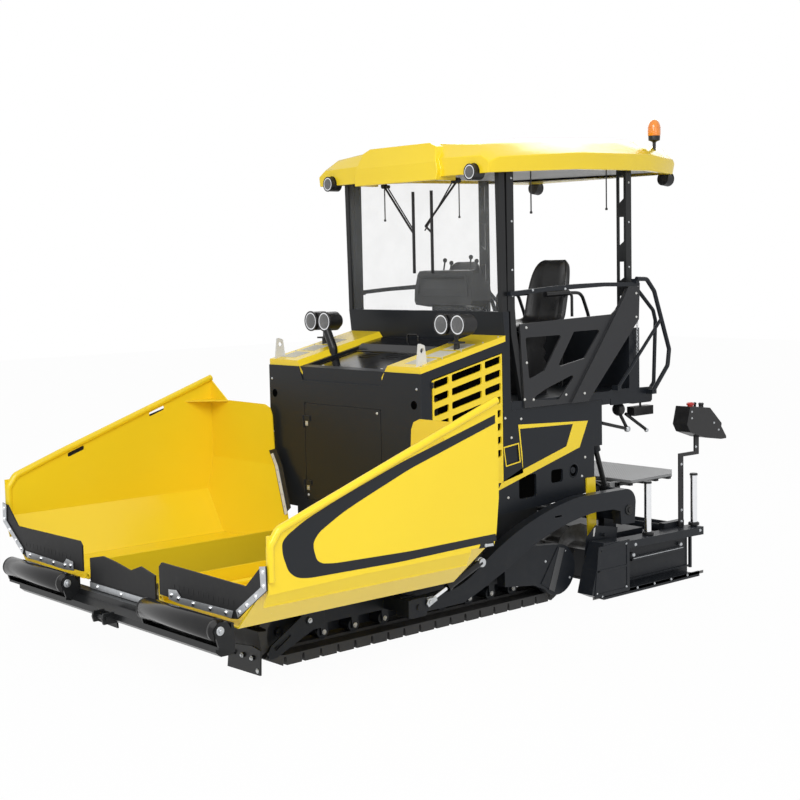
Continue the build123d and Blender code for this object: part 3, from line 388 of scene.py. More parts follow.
yellow, yellowShade = (0.95, 0.70, 0.022, 1), (0.93, 0.665, 0.019, 1)
anthracite, anthraciteShade = (0.013, 0.0155, 0.020, 1), (0.011, 0.013, 0.017, 1)
# each paint's lighter edge colour is part worn paint and part painted highlight
yellowPaint = paint(
    "yellowPaint", yellow, yellowShade, (0.97, 0.78, 0.12, 1), 0.3, 0.0, 0.24, 0.12, 0.01, 0.4
)
greyPaint = paint(
    "greyPaint", anthracite, anthraciteShade, (0.10, 0.105, 0.115, 1), 0.45, 0.03, 0.33, 0.0, shine=0.2
)
darkPaint = paint(
    "darkPaint", (0.010, 0.011, 0.012, 1), (0.008, 0.008, 0.009, 1), (0.06, 0.06, 0.06, 1), shine=0.28
)
trussPaint = paint(
    "trussPaint", (0.030, 0.031, 0.034, 1), (0.025, 0.026, 0.029, 1), edgeWearAndHighlightShare=0.4, gloss=0.46, bump=0.22,
    shine=0.22
)
blackPaint = paint(
    "blackPaint", (0.005, 0.005, 0.006, 1), (0.007, 0.007, 0.008, 1), edgeWearAndHighlightShare=0.2, gloss=0.16, coat=0.1,
    shine=0.3
)
# painted shade: a matt near-black for holes and openings, where only shade would show
shadePaint = paint(
    "shadePaint", (0.002, 0.002, 0.002, 1), (0.003, 0.003, 0.003, 1), gloss=0.9, coat=0.0, shine=0.0
)
stripePaint = paint("stripePaint", (0.012, 0.014, 0.018, 1), (0.010, 0.012, 0.015, 1), edgeWearAndHighlightShare=0.1, shine=0.25)
whitePaint = paint("whitePaint", (0.72, 0.72, 0.70, 1), (0.62, 0.62, 0.60, 1), gloss=0.34)
liningPaint = paint("liningPaint", (0.50, 0.50, 0.49, 1), (0.43, 0.43, 0.42, 1), gloss=0.6, bump=0.15)
gripPaint = paint("gripPaint", (0.64, 0.62, 0.52, 1), (0.56, 0.54, 0.45, 1), gloss=0.75, bump=0.6)
bandPaint = paint("bandPaint", (0.052, 0.054, 0.058, 1), (0.045, 0.047, 0.050, 1), gloss=0.3)
redPaint = paint("redPaint", (0.55, 0.02, 0.015, 1), (0.45, 0.015, 0.01, 1), gloss=0.3)
rubber = mould(
    "rubber", (0.012, 0.012, 0.013, 1), (0.028, 0.028, 0.028, 1), 300.0, 0.55, 0.12, Specular_IOR_Level=0.3
)
padRubber = mould("padRubber", (0.022, 0.022, 0.022, 1), (0.045, 0.043, 0.041, 1), 240.0, 0.62, 0.2)
moulding = mould(
    "moulding", (0.012, 0.012, 0.013, 1), (0.022, 0.022, 0.023, 1), 700.0, 0.42, 0.06,
    Specular_IOR_Level=0.35
)
vinyl = mould(
    "vinyl", (0.009, 0.009, 0.010, 1), (0.016, 0.016, 0.017, 1), 520.0, 0.34, 0.10, Specular_IOR_Level=0.4
)
hose = mould("hose", (0.010, 0.010, 0.010, 1), (0.02, 0.02, 0.02, 1), 260.0, 0.36, 0.10)
zinc = mill("zinc", (0.56, 0.58, 0.60, 1), (0.36, 0.37, 0.38, 1), 0.5, 0.36, 0.75)
chrome = mill("chrome", (0.82, 0.83, 0.85, 1), (0.6, 0.6, 0.62, 1), 0.2, 0.10, 1.0, 0.01)
castSteel = mill("castSteel", (0.16, 0.16, 0.16, 1), (0.07, 0.066, 0.062, 1), 0.7, 0.46, 0.7, 0.2)
amberLens = mould("amberLens", (0.9, 0.26, 0.01, 1), (0.95, 0.34, 0.02, 1), 200.0, 0.14, Coat_Weight=0.8)
clearLens = mould(
    "clearLens", (0.045, 0.048, 0.052, 1), (0.11, 0.11, 0.115, 1), 90.0, 0.14, 0.3, Coat_Weight=1.0
)
clearPane = glassy("clearPane", (0.42, 0.44, 0.45, 1), 0.02, 0.06, 0.05)


def buildPerforated():
    # the walkway's steel: a light grey tread plate with rows of round holes, which show as dark dots of
    # painted shade
    material = deckPlain.copy()
    material.name = "perforatedDeck"
    tree = material.node_tree
    base = tree.nodes["Principled BSDF"]
    split = tree.nodes.new("ShaderNodeSeparateXYZ")
    tree.links.new(objectPlace(tree), split.inputs[0])
    reaches = []
    for axis in ("X", "Y"):
        turn = worked(tree, "MULTIPLY", split.outputs[axis], 40.0)
        reaches.append(worked(tree, "SUBTRACT", worked(tree, "FRACT", turn), 0.5))
    squares = [worked(tree, "MULTIPLY", reach, reach) for reach in reaches]
    away = worked(tree, "SQRT", worked(tree, "ADD", *squares))
    holeShadeMask = mapped(tree, away, 0.24, 0.30, 1.0, 0.0)
    up = tree.nodes.new("ShaderNodeSeparateXYZ")
    tree.links.new(tree.nodes.new("ShaderNodeNewGeometry").outputs["Normal"], up.inputs[0])
    holeShadeMask = worked(tree, "MULTIPLY", holeShadeMask, mapped(tree, up.outputs["Z"], 0.7, 0.9, 0.0, 1.0))
    plain = base.inputs["Base Color"].links[0].from_socket
    # painted shade: near-black dots where the holes are
    tree.links.new(mixColor(tree, holeShadeMask, plain, (0.012, 0.012, 0.012, 1)), base.inputs["Base Color"])
    return material


deckPlain = paint("deckPlain", (0.30, 0.305, 0.31, 1), (0.25, 0.255, 0.26, 1), dust=0.1, gloss=0.45)
deckPaint = buildPerforated()
print("materials mixed")

nodeFinish = {
    yellowPaint: ["front_frame", "hood_rails", "roof", "auger_frame", "grille_door", "hopper_wing"],
    greyPaint: [
        "hull", "hull_sides", "hood_frame", "front_panel", "service_door", "platform", "guard_rails",
        "tow_arms",
        "lift_cylinders", "screed_body", "track_frame", "wing_cylinder", "screed_extension", "end_gate",
    ],
    darkPaint: ["push_beam", "clearing_plates", "roof_posts", "lift_rods", "exhaust"],
    trussPaint: ["side_panels"],
    blackPaint: ["hood_lid", "push_roller"],
    rubber: ["centre_apron", "wing_apron"],
    padRubber: ["track"],
    castSteel: ["engine_block", "conveyor", "auger"],
    chrome: ["wing_rod"],
    moulding: ["wipers", "console", "work_lights", "screed_remote"],
    vinyl: ["seats"],
    whitePaint: ["lifting_eyes"],
    deckPaint: ["screed_walkway"],
    clearPane: ["windscreen"],
    amberLens: ["beacon"],
}


def paintNodes():
    lookUp = {stem: material for material, stems in nodeFinish.items() for stem in stems}
    for name, piece in nodes.items():
        material = lookUp[name.removesuffix("_left").removesuffix("_right")]
        if piece.data.materials:
            for place in range(len(piece.data.materials)):
                piece.data.materials[place] = material
        else:
            piece.data.materials.append(material)


paintNodes()
print("nodes painted")


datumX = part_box("hopper_wing_left")[1].x - 1.820  # the front panel's plane, from which X is counted below
sides = {"left": 1, "right": -1}
wingRear = {"left": 14, "right": 34}


def spot(x, y, z):
    # a place in millimetres from the front panel, the middle and the ground
    return Vector((x / 1000 + datumX, y / 1000, z / 1000))


def roundOff(points, bend, steps=5, closed=True):
    # eases each corner of a path into a short curve
    count = len(points)
    eased = []
    for index, here in enumerate(points):
        if not closed and index in (0, count - 1):
            eased.append(here)
            continue
        before, after = points[index - 1] - here, points[(index + 1) % count] - here
        reach = min(bend / 1000, before.length * 0.45, after.length * 0.45)
        start, end = here + before.normalized() * reach, here + after.normalized() * reach
        for step in range(steps + 1):
            part = step / steps
            eased.append(start * (1 - part) ** 2 + here * 2 * part * (1 - part) + end * part**2)
    return eased


def addPrism(form, corners, push):
    low = [form.verts.new(corner) for corner in corners]
    high = [form.verts.new(corner + push) for corner in corners]
    form.faces.new(low)
    form.faces.new(high[::-1])
    for index in range(len(low)):
        after = (index + 1) % len(low)
        form.faces.new((low[index], high[index], high[after], low[after]))


def addFrame(form, outer, inner, push):
    # a flat ring between two outlines with the same number of corners
    rings = [[form.verts.new(corner) for corner in path] for path in (outer, inner)]
    raised = [[form.verts.new(corner + push) for corner in path] for path in (outer, inner)]
    for index in range(len(outer)):
        after = (index + 1) % len(outer)
        form.faces.new((rings[0][index], rings[0][after], rings[1][after], rings[1][index]))
        form.faces.new((raised[0][index], raised[1][index], raised[1][after], raised[0][after]))
        for low, high in zip(rings, raised):
            form.faces.new((low[index], high[index], high[after], low[after]))


def ringAt(form, centre, across, other, radius, count):
    turns = [math.tau * index / count for index in range(count)]
    outs = [across * math.cos(turn) + other * math.sin(turn) for turn in turns]
    return [form.verts.new(centre + out * radius / 1000) for out in outs]


def joinRings(form, low, high):
    for index in range(len(low)):
        after = (index + 1) % len(low)
        form.faces.new((low[index], low[after], high[after], high[index]))


def closeEnds(form, rings):
    form.faces.new(rings[0][::-1])
    form.faces.new(rings[-1])


def turnedRings(form, base, along, profile, count):
    # a profile of (reach, radius) in millimetres, turned about an axis
    axis = along.normalized()
    across = axis.orthogonal().normalized()
    other = axis.cross(across)
    return [
        ringAt(form, base + axis * reach / 1000, across, other, radius, count) for reach, radius in profile
    ]


def addTurned(form, base, along, profile, count=20):
    rings = turnedRings(form, base, along, [(reach, max(radius, 0.05)) for reach, radius in profile], count)
    for low, high in zip(rings, rings[1:]):
        joinRings(form, low, high)
    closeEnds(form, rings)


def addRing(form, base, along, profile, count=32):
    # a turned ring, open in the middle
    rings = turnedRings(form, base, along, profile, count)
    for low, high in zip(rings, rings[1:] + rings[:1]):
        joinRings(form, low, high)


def addTube(form, points, radius, bend=0.0, count=12, closed=False):
    # a round bar along a path, its corners eased
    path = roundOff(points, bend, closed=closed) if bend else points
    last = len(path) - 1
    rings = []
    across = None
    for index, here in enumerate(path):
        if closed:
            along = path[(index + 1) % len(path)] - path[index - 1]
        else:
            along = path[min(index + 1, last)] - path[max(index - 1, 0)]
        along.normalize()
        across = along.orthogonal() if across is None else across - along * across.dot(along)
        across.normalize()
        rings.append(ringAt(form, here, across, along.cross(across), radius, count))
    for low, high in zip(rings, rings[1:] + rings[:1] if closed else rings[1:]):
        joinRings(form, low, high)
    if not closed:
        closeEnds(form, rings)


def addBolt(form, place, along, size):
    # a washer and a six-sided head with a worn edge
    addTurned(
        form, place, along, [(0, size * 1.35), (size * 0.22, size * 1.35), (size * 0.3, size * 1.2)], 18
    )
    addTurned(
        form, place, along,
        [(size * 0.3, size * 0.95), (size * 0.9, size * 0.95), (size * 1.05, size * 0.75)], 6
    )


def finishPiece(name, form, material, body, bevel=0.0, angle=35):
    bmesh.ops.recalc_face_normals(form, faces=form.faces)
    mesh = bpy.data.meshes.new(name)
    form.to_mesh(mesh)
    form.free()
    mesh.materials.append(material)
    mesh.polygons.foreach_set("use_smooth", [True] * len(mesh.polygons))
    mesh.set_sharp_from_angle(angle=math.radians(angle))
    piece = bpy.data.objects.new(name, mesh)
    scene.collection.objects.link(piece)
    if bevel:
        edge = piece.modifiers.new("easedEdge", "BEVEL")
        edge.width = bevel / 1000
        edge.segments = 2
        edge.limit_method = "ANGLE"
        edge.harden_normals = True
    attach(piece, body)
    return piece


outward = {"left": Vector((0, 1, 0)), "right": Vector((0, -1, 0))}
ahead = Vector((1, 0, 0))
upward = Vector((0, 0, 1))


def addRoundBolt(form, place, along, size):
    addTurned(form, place, along, [(0, size * 1.25), (size * 0.2, size * 1.25), (size * 0.25, size)], 20)
    addTurned(
        form, place, along, [(size * 0.25, size), (size * 0.55, size * 0.85), (size * 0.75, size * 0.4)], 20
    )


def toward(side, key):
    return {
        "out": outward[side], "in": -outward[side], "across": outward["left"],
        "ahead": ahead, "back": -ahead, "up": upward,
    }[key]


def put(side, place):
    # a place given for the left side, on either side
    return spot(place[0], sides[side] * place[1], place[2])


def flat(points, axis, level, sign=1):
    # an outline drawn in the two other axes, set at a level along one
    if axis == "y":
        return [spot(a, sign * level, b) for a, b in points]
    if axis == "x":
        return [spot(level, sign * a, b) for a, b in points]
    return [spot(a, sign * b, level) for a, b in points]


# the way each axis faces, and how far off a line along it starts
castAxes = {"x": ("ahead", 4000), "y": ("out", 3000), "z": ("up", 5000)}
nodeTrees = {}


def nodeTree(name):
    if name not in nodeTrees:
        nodeTrees[name] = BVHTree.FromObject(nodes[name], bpy.context.evaluated_depsgraph_get())
    return nodeTrees[name]


def meet(side, axis, node, place):
    # where a line along an axis, from outside, first meets a node
    key, away = castAxes[axis]
    start = flat([place], axis, away, sides[side])[0]
    return nodeTree(node.format(side=side)).ray_cast(start, -toward(side, key))[0]


def at(form, side, add, places, key, *values):
    for place in places:
        add(form, put(side, place), toward(side, key), *values)


def on(form, side, add, axis, node, places, *values):
    for pair in places:
        place = meet(side, axis, node, pair)
        if place:
            add(form, place, toward(side, castAxes[axis][0]), *values)


def plate(form, side, points, axis, level, thick, bend=0):
    path = flat(points, axis, level, sides[side])
    addPrism(form, roundOff(path, bend) if bend else path, toward(side, castAxes[axis][0]) * thick)


def border(form, side, outer, inner, axis, level, thick):
    paths = [flat(points, axis, level, sides[side]) for points in (outer, inner)]
    addFrame(form, *paths, toward(side, castAxes[axis][0]) * thick)


def strip(form, side, front, rear, low, high, level, proud):
    # an upright bar on a plate that faces outward
    path = [(front, low), (front, high), (rear, high), (rear, low)]
    addPrism(form, flat(path, "y", level, sides[side]), outward[side] * proud / 1000)


def bar(form, side, radius, bend, count, *paths):
    for path in paths:
        addTube(form, [put(side, place) for place in path], radius, bend, count)


def box(form, side, low, high):
    near, far = sorted((sides[side] * low[1], sides[side] * high[1]))
    ends = ((near, low[2]), (far, low[2]), (far, high[2]), (near, high[2]))
    addPrism(form, [spot(low[0], y, z) for y, z in ends], ahead * ((high[0] - low[0]) / 1000))


def both(form, side, *steps):
    # the same steps on the left, then on the right, in one piece
    for way in sides:
        for add, *values in steps:
            add(form, way, *values)


def build(name, material, body, *steps, bevel=0.0, angle=35):
    # one piece from its steps, or one for each side where the name has a place for it
    made = []
    for side in sides if "{side}" in name else ["left"]:
        form = bmesh.new()
        for add, *values in steps:
            add(form, side, *values)
        place = {"side": side}
        made.append(finishPiece(name.format(**place), form, material, body.format(**place), bevel, angle))
    return made


wingPaint = {
    "level": 1590,
    "proud": 1.2,
    "outer": [
        (20, 1524), (836, 1303), (1278, 1158), (1552, 1056), (1677, 988), (1717, 951),
        (1715, 881), (1676, 776), (1616, 734), (1528, 721), (852, 710), (40, 724),
    ],
    "inner": [
        (21, 1470), (758, 1260), (1111, 1130), (1281, 1064), (1457, 972), (1498, 920),
        (1496, 877), (1475, 813), (1436, 790), (1345, 778), (771, 763), (48, 769),
    ],
    "bend": 70,
    "rearGap": 24,
}


def wingStripe(form, side):
    # one broad dark line round the wing's blank field, open at the rear edge
    rear = wingRear[side] + wingPaint["rearGap"]
    outer, inner = [
        roundOff(
            flat([(max(x, rear), z) for x, z in wingPaint[key]], "y", wingPaint["level"], sides[side]),
            wingPaint["bend"],
            closed=False,
        )
        for key in ("outer", "inner")
    ]
    addPrism(form, outer + inner[::-1], outward[side] * wingPaint["proud"] / 1000)


wingTrim = {
    "seal": [(817, 1098), (730, 1120), (653, 990), (485, 706), (549, 651), (752, 990)],
    "strip": [(792, 1072), (764, 1082), (708, 990), (508, 662), (534, 648), (742, 990)],
    "bend": 990,
    "slope": 0.2165,
    "wall": 8,
    "bolts": [(758, 1040), (706, 960), (655, 876), (604, 792), (553, 708)],
    "boltProud": 10,
    "pocketShade": [(64, 690), (196, 694), (172, 742), (64, 740)],
    "latch": [(72, 696), (150, 699), (146, 716), (76, 713)],
    "face": 1590,
    "latchFace": 1591.6,
    "knobAt": (140, 1591.6, 708),
    "knob": [(0, 11), (9, 11), (11, 8)],
}


def onRearWall(side, across, high, proud=0):
    # a place on the wing's rear wall, which leans forward below its bend
    lean = max(0, wingTrim["bend"] - high) * wingTrim["slope"]
    return spot(wingRear[side] + wingTrim["wall"] + lean + proud, sides[side] * across, high)


def leaningStrip(form, side, key, proud, thick):
    a, b, c, d, e, f = [onRearWall(side, across, high, proud) for across, high in wingTrim[key]]
    addPrism(form, [a, b, c, f], ahead * thick / 1000)
    addPrism(form, [f, c, d, e], ahead * thick / 1000)


def sealBolts(form, side):
    for across, high in wingTrim["bolts"]:
        addRoundBolt(form, onRearWall(side, across, high, wingTrim["boltProud"]), ahead, 6)


def trimWings():
    # stripe, rubber seal with its white strip, latch on a dark sheet of painted shade for its pocket, and
    # the apron's strips and scores
    wing = "wing_{side}"
    build("wing_stripe_{side}", stripePaint, wing, (wingStripe,))
    build("wing_seal_{side}", rubber, wing, (leaningStrip, "seal", 0, 6))
    build("wing_strip_{side}", whitePaint, wing, (leaningStrip, "strip", 6, 4))
    build("wing_seal_bolts_{side}", zinc, wing, (sealBolts,))
    # painted shade: a near-black sheet stands for the shaded recess of the latch pocket
    build("wing_pocket_{side}", darkPaint, wing, (plate, wingTrim["pocketShade"], "y", wingTrim["face"], 0.0016))
    latch = (plate, wingTrim["latch"], "y", wingTrim["latchFace"], 0.006)
    knob = (at, addTurned, [wingTrim["knobAt"]], "out", wingTrim["knob"])
    build("wing_latch_{side}", zinc, wing, latch, knob, bevel=1.0)
    strips = [(plate, apronTrim[key], "x", apronTrim["stripLevel"], 0.003) for key in ("inner", "outer")]
    build("apron_strips_{side}", zinc, wing, *strips, bevel=0.8)
    places = [(apronTrim["boltLevel"], across, high) for across, high in apronTrim["bolts"]]
    build("apron_bolts_{side}", chrome, wing, (at, addRoundBolt, places, "ahead", 12))
    first, pitch, count = apronTrim["scores"]
    low, high = apronTrim["scoreHeights"]
    wide, level = apronTrim["scoreWide"], apronTrim["scoreLevel"]
    scores = [
        (plate, [(y, low), (y + wide, low), (y + wide, high), (y, high)], "x", level, 0.0015)
        for y in range(first, first + pitch * count, pitch)
    ]
    build("apron_scores_{side}", moulding, wing, *scores)


apronTrim = {
    "inner": [(590, 489), (590, 550), (678, 559), (720, 520), (1270, 532), (1250, 487), (718, 480)],
    "outer": [(1540, 826), (1596, 836), (1599, 700), (1316, 500), (1300, 540), (1548, 712)],
    "bolts": [
        (622, 520), (700, 512), (860, 505), (1040, 508), (1200, 511),
        (1572, 800), (1576, 722), (1500, 652), (1410, 588), (1338, 537),
    ],
    "scores": (640, 52, 13),  # first, pitch and count
    "scoreHeights": (556, 590),
    "scoreWide": 5,
    "stripLevel": 1838,
    "boltLevel": 1841,
    "scoreLevel": 1832,
}
trimWings()


frontTrim = {
    "apronStrip": [(-392, 402), (392, 402), (392, 442), (-392, 442)],
    "apronBolts": [(1826, -300, 422), (1826, 0, 422), (1826, 300, 422)],
    "holeShadePlaces": [(-8, 785, 1532), (-8, -785, 1532)],
    "panelBolts": [(0, sign * 815, high) for sign in (1, -1) for high in (1640, 1240, 860)],
    "doorBolts": [(0, 400, 1452), (0, 400, 800), (0, -400, 800)],
    "hinges": (866, 1342),
    "plateBolts": [(sign * across, 125) for sign in (1, -1) for across in (740, 840, 940)],
    "apronLevel": 1824,
    "holeShadeDisc": [(0, 30), (9, 30), (11, 27)],
    "leafEdges": (-416, -386),
    "leafHalf": 30,
    "screw": (3, -398),
    "screwReach": 17,
}


def trimFront():
    # centre apron, front panel with painted shade in its holes, service door, and bolts on the clearing
    # plates
    clamp = (plate, frontTrim["apronStrip"], "x", frontTrim["apronLevel"], 0.002)
    build("centre_apron_strip", zinc, "chassis", clamp, bevel=0.8)
    build("centre_apron_bolts", chrome, "chassis", (at, addRoundBolt, frontTrim["apronBolts"], "ahead", 12))
    # painted shade: near-black discs behind the front panel's holes
    holeShadePlaces = (at, addTurned, frontTrim["holeShadePlaces"], "ahead", frontTrim["holeShadeDisc"], 28)
    build("panel_hole_shades", shadePaint, "chassis", holeShadePlaces)
    build("panel_bolts", zinc, "chassis", (at, addBolt, frontTrim["panelBolts"], "ahead", 7))
    build("door_bolts", whitePaint, "service_door", (at, addBolt, frontTrim["doorBolts"], "ahead", 7))
    leaves = []
    (near, far), half, (face, across) = frontTrim["leafEdges"], frontTrim["leafHalf"], frontTrim["screw"]
    for high in frontTrim["hinges"]:
        screws = [(face, across, high + sign * frontTrim["screwReach"]) for sign in (-1, 1)]
        leaves.append((box, (0, near, high - half), (face, far, high + half)))
        leaves.append((at, addRoundBolt, screws, "ahead", 5))
    build("door_hinge_leaves", zinc, "service_door", *leaves, bevel=0.6)
    build("beam_bolts", zinc, "chassis", (on, addBolt, "x", "clearing_plates", frontTrim["plateBolts"], 11))


trimFront()

railSlope = {"base": 1784.2, "rise": 0.2201}
lidSlope = {"base": 1721.4, "rise": 0.2234}
hoodTrim = {
    "gripEdges": (620, 790),
    "gripRuns": [(-70, -215), (-250, -395), (-430, -575)],
    "railBolts": [(-40, 820), (-232, 820), (-412, 820), (-620, 820), (-770, 820)],
    "rim": [(-84, -410), (-84, 410), (-505, 410), (-505, -410)],
    "rimInner": [(-98, -396), (-98, 396), (-491, 396), (-491, -396)],
    "lidBolts": [(-110, 330), (-110, -330)],
}


def onSlope(slope, side, along, across):
    return spot(along, sides[side] * across, slope["base"] - slope["rise"] * along)


def grips(form, side):
    near, far = hoodTrim["gripEdges"]
    for front, rear in hoodTrim["gripRuns"]:
        pairs = ((front, near), (front, far), (rear, far), (rear, near))
        addPrism(form, [onSlope(railSlope, side, *pair) for pair in pairs], upward * 2.0 / 1000)


def slopeBolts(form, side, add, slope, pairs, size):
    for pair in pairs:
        add(form, onSlope(slope, side, *pair), upward, size)


def lidRim(form, side):
    paths = [[onSlope(lidSlope, side, *pair) for pair in hoodTrim[key]] for key in ("rim", "rimInner")]
    addFrame(form, *paths, upward * 0.005)


# anti-slip patches and bolts on the rails, and the lid's glossy rim and white bolts
build("rail_grip_{side}", gripPaint, "chassis", (grips,))
build("rail_bolts_{side}", zinc, "chassis", (slopeBolts, addBolt, railSlope, hoodTrim["railBolts"], 5))
build("lid_rim", blackPaint, "hood_lid", (lidRim,), bevel=1.0)
build("lid_bolts", whitePaint, "hood_lid", (slopeBolts, addRoundBolt, lidSlope, hoodTrim["lidBolts"], 11))

lampShape = {
    "twin": [(-385, 652.5, 2055), (-385, 817.5, 2055)],
    "front": [(-555, 782, 3098)],
    "rear": [(-2815, 704, 3105)],
    "dish": [(0, 66), (3, 65), (5, 58), (6.5, 40), (7.2, 18), (7.4, 2)],
    "smallDish": [(0, 48), (2.5, 47), (4, 38), (4.8, 20), (5, 2)],
    "rim": [(-4, 77), (5, 77), (8, 74), (8, 67), (3, 64)],
    "smallRim": [(-3, 57), (4, 57), (6, 54), (6, 49), (2, 47)],
    "rearRim": [(-3, 57), (3, 57), (5, 54), (5, 49), (2, 47)],
    "bowl": [(2, 66), (5.5, 66), (6.5, 61), (5.5, 57), (2, 58)],
    "smallBowl": [(2, 48), (4.4, 48), (5.0, 44), (4.4, 41), (2, 42)],
}


def fitLamps():
    # lenses, rims and bowls of the twin floodlights and the roof's corner lamps
    for name, add, material, profiles in (
        ("lamp_lenses", addTurned, clearLens, ("dish", "smallDish", "smallDish")),
        ("lamp_rims", addRing, moulding, ("rim", "smallRim", "rearRim")),
        ("lamp_bowls", addRing, chrome, ("bowl", "smallBowl", "smallBowl")),
    ):
        rows = zip(("twin", "front", "rear"), ("ahead", "ahead", "back"), profiles, (32, 28, 28))
        steps = [
            (at, add, lampShape[group], key, lampShape[part], count) for group, key, part, count in rows
        ]
        build(name, material, "chassis", (both, *steps))


fitLamps()
build(
    "roof_lining", liningPaint, "chassis",
    (plate, [(-660, -760), (-660, 760), (-2700, 700), (-2700, -700)], "z", 3160, -0.004, 90),
)

wheelShape = {
    "centre": (-1088, 160, 2250),
    "lean": (-0.80, 0, 0.60),
    "radius": 185,
    "rim": 14,
    "steps": 40,
    "spokes": (0.25, 0.58, 0.92),
}
consoleShape = {
    "face": [(-118, 2232), (432, 2232), (418, 2392), (-106, 2392)],
    "inner": [(-96, 2252), (410, 2252), (398, 2374), (-86, 2374)],
    "levers": ((20, 90), (90, 70), (300, 110), (360, 80)),
    "leverFoot": (-1000, 2400),
    "knob": [(-8, 10), (4, 16), (16, 15), (24, 6)],
}


def steeringWheel(form, side):
    centre, radius = spot(*wheelShape["centre"]), wheelShape["radius"] / 1000
    axis = Vector(wheelShape["lean"]).normalized()
    across = toward(side, "across")
    other = axis.cross(across)

    def onRim(turn):
        return centre + (across * math.cos(math.tau * turn) + other * math.sin(math.tau * turn)) * radius

    count = wheelShape["steps"]
    addTube(form, [onRim(k / count) for k in range(count)], wheelShape["rim"], closed=True)
    for turn in wheelShape["spokes"]:
        addTube(form, [centre - axis * 0.02, onRim(turn)], 8)
    addTurned(form, centre - axis * 0.045, axis, [(0, 34), (30, 40), (44, 38), (50, 24)], 24)
    addTube(form, [centre - axis * 0.03, centre - axis * 0.13], 20)


def levers(form, side):
    along, high = consoleShape["leverFoot"]
    for across, tall in consoleShape["levers"]:
        foot = spot(along, across, high)
        top = foot + Vector((-0.02, 0, tall / 1000))
        addTube(form, [foot, top], 6)
        addTurned(form, top, upward, consoleShape["knob"], 16)


build("steering_wheel", moulding, "chassis", (steeringWheel,))
fascia = (border, consoleShape["face"], consoleShape["inner"], "x", -856, 0.006)
build("console_frame", moulding, "chassis", fascia, bevel=2.0)
build("console_levers", moulding, "chassis", (levers,))

cabTrim = {
    "trussBolts": [
        (-985, 1500), (-1075, 1492), (-1240, 1500), (-1420, 1502), (-1600, 1500), (-1790, 1500),
        (-1980, 1496),
        (-1010, 1760), (-1010, 2010), (-1010, 2190), (-2190, 1560), (-2196, 1800), (-2196, 2040),
        (-2196, 2220),
    ],
    "postBolts": [(along, high) for high in (2240, 2420, 2760, 3060) for along in (-890, -2214)],
    "railBolts": [(along, 2274) for along in (-1060, -1400, -1740, -2080, -2400)],
    "rods": [(-1141, 3158, 2832), (-1957, 3185, 2864)],
    "rodEnd": [(0, 6), (3, 10), (14, 10), (18, 6)],
    "grab": [
        (-1935, 350, 1500), (-1940, 350, 2230), (-2171, 350, 2224), (-2256, 350, 2038), (-2262, 350, 1957)
    ],
}


def trimCab():
    # bolts down the truss panels, posts and rail, thin rods from the roof, and grab tubes behind the seats
    build(
        "truss_bolts_{side}", whitePaint, "chassis",
        (on, addBolt, "y", "side_panels", cabTrim["trussBolts"], 7)
    )
    posts = (on, addBolt, "y", "roof_posts", cabTrim["postBolts"], 6)
    build(
        "cab_bolts_{side}", zinc, "chassis", posts,
        (on, addBolt, "y", "guard_rails", cabTrim["railBolts"], 7)
    )
    rods = []
    for along, top, low in cabTrim["rods"]:
        rods.append((bar, 5, 0, 12, [(along, 800, top), (along, 800, low)]))
        rods.append((at, addTurned, [(along, 800, low - 16)], "up", cabTrim["rodEnd"], 14))
    build("cab_rods_{side}", moulding, "chassis", *rods)
    build("cab_tubes_{side}", darkPaint, "chassis", (bar, 14, 60, 12, cabTrim["grab"]))


trimCab()

trackTrim = {
    "coverCentre": (-1222, 247),
    "coverRadius": 150,
    "coverBolts": 4,
    "coverFace": 0.94,
    "frameBolts": [(1003, 260), (640, 330), (420, 318), (120, 330), (-200, 330), (-500, 330)],
    "rollers": [(along, 130) for along in (807, 549, 292, 25, -240, -494, -710, -931)],
}


def coverBolts(form, side):
    # a bolt circle, kept only where it meets the cover of the final drive
    along, high = trackTrim["coverCentre"]
    for index in range(trackTrim["coverBolts"]):
        angle = math.tau * (index + 0.35) / trackTrim["coverBolts"]
        reach = trackTrim["coverRadius"]
        pair = (along + reach * math.cos(angle), high + reach * math.sin(angle))
        place = meet(side, "y", "track_frame_{side}", pair)
        if place and abs(place.y) > trackTrim["coverFace"]:
            addBolt(form, place, outward[side], 7)


def trimTracks():
    frameBolts = (on, addBolt, "y", "track_frame_{side}", trackTrim["frameBolts"], 12)
    build("track_frame_bolts_{side}", zinc, "chassis", (coverBolts,), frameBolts)
    rollers = (on, addRoundBolt, "y", "track_frame_{side}", trackTrim["rollers"], 13)
    build("track_roller_bolts_{side}", whitePaint, "chassis", rollers)
    band = (plate, [(-1118, 118), (-1176, 92), (-1288, 396), (-1232, 410)], "y", 952, 0.003)
    build("drive_band_{side}", bandPaint, "chassis", band, bevel=0.8)


trimTracks()

rollerShape = {
    "inner": (1950, 488, 440),
    "outer": (1950, 1281, 440),
    "turn": [
        (0, 22), (0, 40), (4, 46), (6, 58), (10, 65.5), (22, 66), (26, 63.5), (30, 66),
        (763, 66), (767, 63.5), (771, 66), (783, 65.5), (787, 58), (789, 46), (793, 40), (793, 22),
    ],
    "bracketEnd": [(0, 26), (4, 26), (6, 22), (6, 14), (14, 13), (16, 9)],
    "innerFrom": (1950, 300, 440),
}


def innerBracket(form, side):
    # the bolt end on the bracket's inner face, met from the middle of the machine
    place = nodeTree("push_beam").ray_cast(put(side, rollerShape["innerFrom"]), outward[side])[0]
    if place:
        addTurned(form, place, -outward[side], rollerShape["bracketEnd"], 24)


